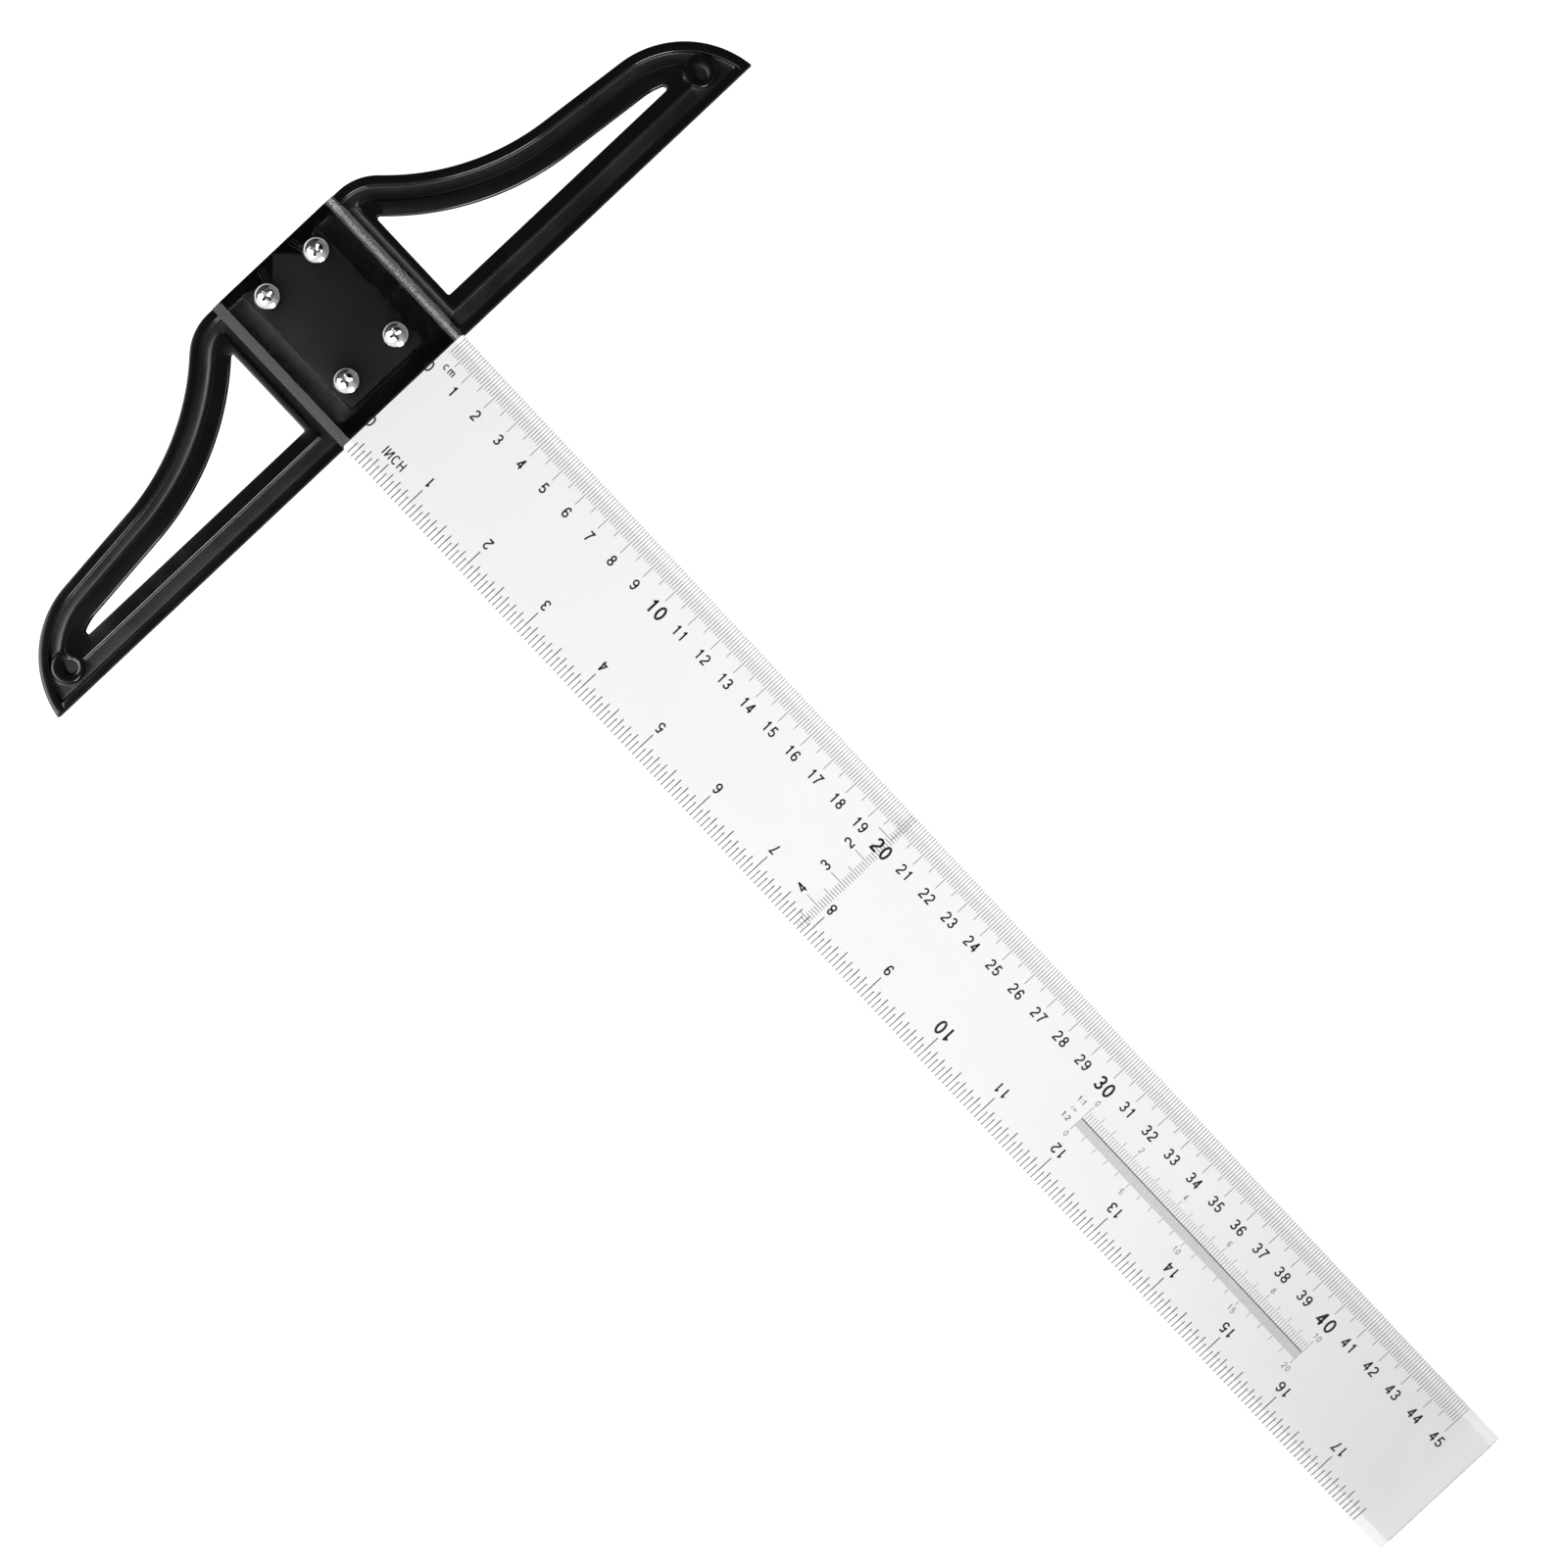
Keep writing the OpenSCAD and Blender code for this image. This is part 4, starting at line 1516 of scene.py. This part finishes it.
@dataclass
class Studio:
    """A glowing white table, a tent of soft light that is dark overhead, two soft boxes, the camera.

    Lengths are in metres. strengths are pairs of x and the table's glow there: it is brightest
    past the middle of the blade and falls off towards its end, a painted reflection of a light
    overhead on the blade. The tent's fields are spans of a component of the direction, and the
    light that is left where a span is dark.
    """

    aim: tuple = (0.16520, 0.00260, 0.0)
    stand: tuple = (0.06722, 0.04070, 1.50691)
    up: tuple = (-0.7272, 0.6834, -0.0646)
    lens: float = 114.05
    sensor: float = 36.0
    table_gap: float = 0.00005
    table_reach: float = 6.0
    span: tuple = (-0.06, 0.47)
    strengths: tuple = ((0.0, 1.20), (0.04, 1.245), (0.10, 1.293), (0.17, 1.33), (0.25, 1.325),
                        (0.29, 1.29), (0.34, 1.22), (0.38, 1.12), (0.42, 1.02), (0.46, 0.90))
    crown_axis: tuple = (-0.10, 0.25, 0.963)
    crown_span: tuple = (0.86, 0.95)
    crown_light: float = 0.03
    back_span: tuple = (-0.62, -0.40)
    back_light: float = 0.12
    low_span: tuple = (0.2, 0.4)
    side_span: tuple = (-0.5, 0.5)
    side_light: float = 0.22

    def camera(self) -> None:
        """The camera: its back axis runs from the aim to the stand."""
        data = bpy.data.cameras.new("camera")
        data.lens, data.sensor_width = self.lens, self.sensor
        data.clip_start, data.clip_end = 0.01, 100.0
        obj = bpy.data.objects.new("camera", data)
        bpy.context.scene.collection.objects.link(obj)
        back = (Vector(self.stand) - Vector(self.aim)).normalized()
        right = Vector(self.up).cross(back).normalized()
        turned = Matrix((right, back.cross(right), back)).transposed().to_4x4()
        obj.matrix_world = Matrix.Translation(self.stand) @ turned
        bpy.context.scene.camera = obj

    def floor(self) -> None:
        """A white table under the head that glows; its glow is stronger past the middle of the blade, a
        painted reflection of a light overhead on the blade.
        """
        material, tree, shader = new_material("glowing_table_painted_sheen")
        shader.inputs["Base Color"].default_value = (0.06, 0.06, 0.06, 1)
        shader.inputs["Roughness"].default_value = 0.8
        shader.inputs["Specular IOR Level"].default_value = 0.0
        shader.inputs["Emission Color"].default_value = (1, 1, 1, 1)
        place = add_node(tree, "ShaderNodeTexCoord")
        axes = add_node(tree, "ShaderNodeSeparateXYZ", {}, {"Vector": place.outputs["Object"]})
        low, high = self.span
        place_x = add_node(tree, "ShaderNodeMapRange", {"From Min": low, "From Max": high},
                           {"Value": axes.outputs["X"]})
        # The ramp shapes the glow along x: painted reflection of a light overhead on the blade.
        ramp = add_node(tree, "ShaderNodeValToRGB", {}, {"Fac": place_x.outputs["Result"]})
        stops = ramp.color_ramp.elements
        for i, (x, strength) in enumerate(self.strengths):
            stop = stops[i] if i < 2 else stops.new(1.0)
            stop.position = (x - low) / (high - low)
            stop.color = (strength, strength, strength, 1.0)
        tree.links.new(ramp.outputs["Color"], shader.inputs["Emission Strength"])
        r, z = self.table_reach, CAD_BOX[0][2] - self.table_gap
        verts = np.array([[-r, -r, z], [r, -r, z], [r, r, z], [-r, r, z]])
        obj = mesh_object("table", verts, np.array([[0, 1, 2, 3]]), material)

    def tent(self) -> None:
        """World light by direction: pale low down, dark overhead, dark towards -X and dim at +Y.

        The greater of the light away from -X and the light near the horizon, times the light
        away from the crown, times the slope from -Y to +Y.
        """
        world = bpy.data.worlds.new("tent")
        bpy.context.scene.world = world
        world.use_nodes = True
        tree = world.node_tree
        tree.nodes.clear()
        place = add_node(tree, "ShaderNodeTexCoord")
        axes = add_node(tree, "ShaderNodeSeparateXYZ", {}, {"Vector": place.outputs["Generated"]})
        lean = add_node(tree, "ShaderNodeVectorMath", {"operation": "DOT_PRODUCT"},
                        {0: place.outputs["Generated"]})
        lean.inputs[1].default_value = self.crown_axis
        spans = ((lean.outputs["Value"], "SMOOTHSTEP", self.crown_span, 1.0, self.crown_light),
                 (axes.outputs["X"], "SMOOTHSTEP", self.back_span, self.back_light, 1.0),
                 (axes.outputs["Z"], "SMOOTHSTEP", self.low_span, 1.0, 0.0),
                 (axes.outputs["Y"], "LINEAR", self.side_span, 1.0, self.side_light))
        crown, shade, low, side = (
            add_node(tree, "ShaderNodeMapRange",
                     {"interpolation_type": kind, "From Min": near, "From Max": far,
                      "To Min": first, "To Max": last}, {"Value": source})
            for source, kind, (near, far), first, last in spans)
        either = add_node(tree, "ShaderNodeMath", {"operation": "MAXIMUM"},
                          {0: shade.outputs["Result"], 1: low.outputs["Result"]})
        both = add_node(tree, "ShaderNodeMath", {"operation": "MULTIPLY"},
                        {0: either.outputs["Value"], 1: crown.outputs["Result"]})
        tilted = add_node(tree, "ShaderNodeMath", {"operation": "MULTIPLY"},
                          {0: both.outputs["Value"], 1: side.outputs["Result"]})
        light = add_node(tree, "ShaderNodeBackground", {"Color": (1, 1, 1, 1)},
                         {"Strength": tilted.outputs["Value"]})
        add_node(tree, "ShaderNodeOutputWorld", {}, {"Surface": light.outputs["Background"]})

    def build(self) -> None:
        """Everything around the object."""
        self.camera()
        self.floor()
        self.tent()
        SoftBox("side_box", place=(-0.30, -0.85, 1.30), aim=(0.0, -0.1, 0.0), size=(1.5, 0.9),
                radiance=5.5).build()
        SoftBox("front_box", place=(0.90, -0.28, 0.40), aim=(0.0, -0.1, 0.1), size=(0.44, 0.75),
                radiance=22.0).build()
        bpy.context.scene.view_settings.view_transform = "Standard"


RECESS_TURNS = {1: 31.0, 2: 76.0, 3: 2.0, 4: 60.0}  # degrees, as a hand left each screw


def screw_places() -> dict[int, tuple[float, float]]:
    """Reads the screws' places from the record's joints.

    Returns:
        x and y in mm, by the screw's number.
    """
    places = {}
    for joint in frame["record"]["behaviour"]["joints"]:
        x, y, _ = joint["pos_m"]
        places[int(joint["child"][-1])] = (x / MM, y / MM)
    return dict(sorted(places.items()))


def report(piece: bpy.types.Object) -> None:
    """Logs a piece's name and its number of faces."""
    LOG.info("%s: %d faces", piece.name, len(piece.data.polygons))


def main() -> None:
    """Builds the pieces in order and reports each."""
    logging.basicConfig(level=logging.INFO, format="%(name)s: %(message)s")
    places = screw_places()
    screws = list(places.values())
    ribs = MouldedPolystyrene("polished_moulded_polystyrene", "09090a", roughness=0.10,
                              grain_mm=0.9, grain_depth=0.04).make()
    floors = MouldedPolystyrene("sparked_moulded_polystyrene", "131314", roughness=0.27,
                                grain_mm=0.35, grain_depth=0.10).make()
    sides = MouldedPolystyrene("matt_moulded_polystyrene", "0b0b0c", roughness=0.55,
                               grain_mm=0.35, grain_depth=0.30, specular=0.0).make()
    pad = MouldedPolystyrene("dull_moulded_polystyrene", "19191a", roughness=0.42,
                             grain_mm=2.2, grain_depth=0.20).make()
    clear = CastAcrylic("polished_cast_acrylic", "dedede", roughness=0.01, transmission=1.0).make()
    milled = CastAcrylic("milled_cast_acrylic", "f0f0f0", roughness=0.10, transmission=0.97,
                         mark_mm=0.8).make()
    ink = ScreenInk("black_screen_ink", "080809", "101012").make()
    fine = ScreenInk("fine_line_screen_ink", "2a2a2c", "3c3c40").make()
    nickel = PlatedSteel("nickel_plated_steel", "e6e5e2", roughness=0.07, scratch_mm=0.5).make()
    # Darker copy of the nickel for the screws' recess walls: painted shade.
    recess = PlatedSteel("painted_shade_nickel_plated_steel", "2c2b2a", roughness=0.3, scratch_mm=0.4).make()
    zinc = PlatedSteel("zinc_plated_steel", "c4c6ca", roughness=0.28, scratch_mm=0.4).make()
    report(Head(screws=screws).build(ribs, floors, sides, pad))
    report(Blade(screws=screws).build(clear, milled))
    for piece in PrintedRules().build(ink, fine):
        report(piece)
    for k, (x, y) in places.items():
        report(PanScrew(k, x, y, RECESS_TURNS[k]).build(nickel, recess))
        nut = frame["nodes"][f"nut_{k}"]
        nut.data.materials.clear()
        nut.data.materials.append(zinc)
        report(nut)
    Studio().build()


if __name__ == "__main__":
    main()
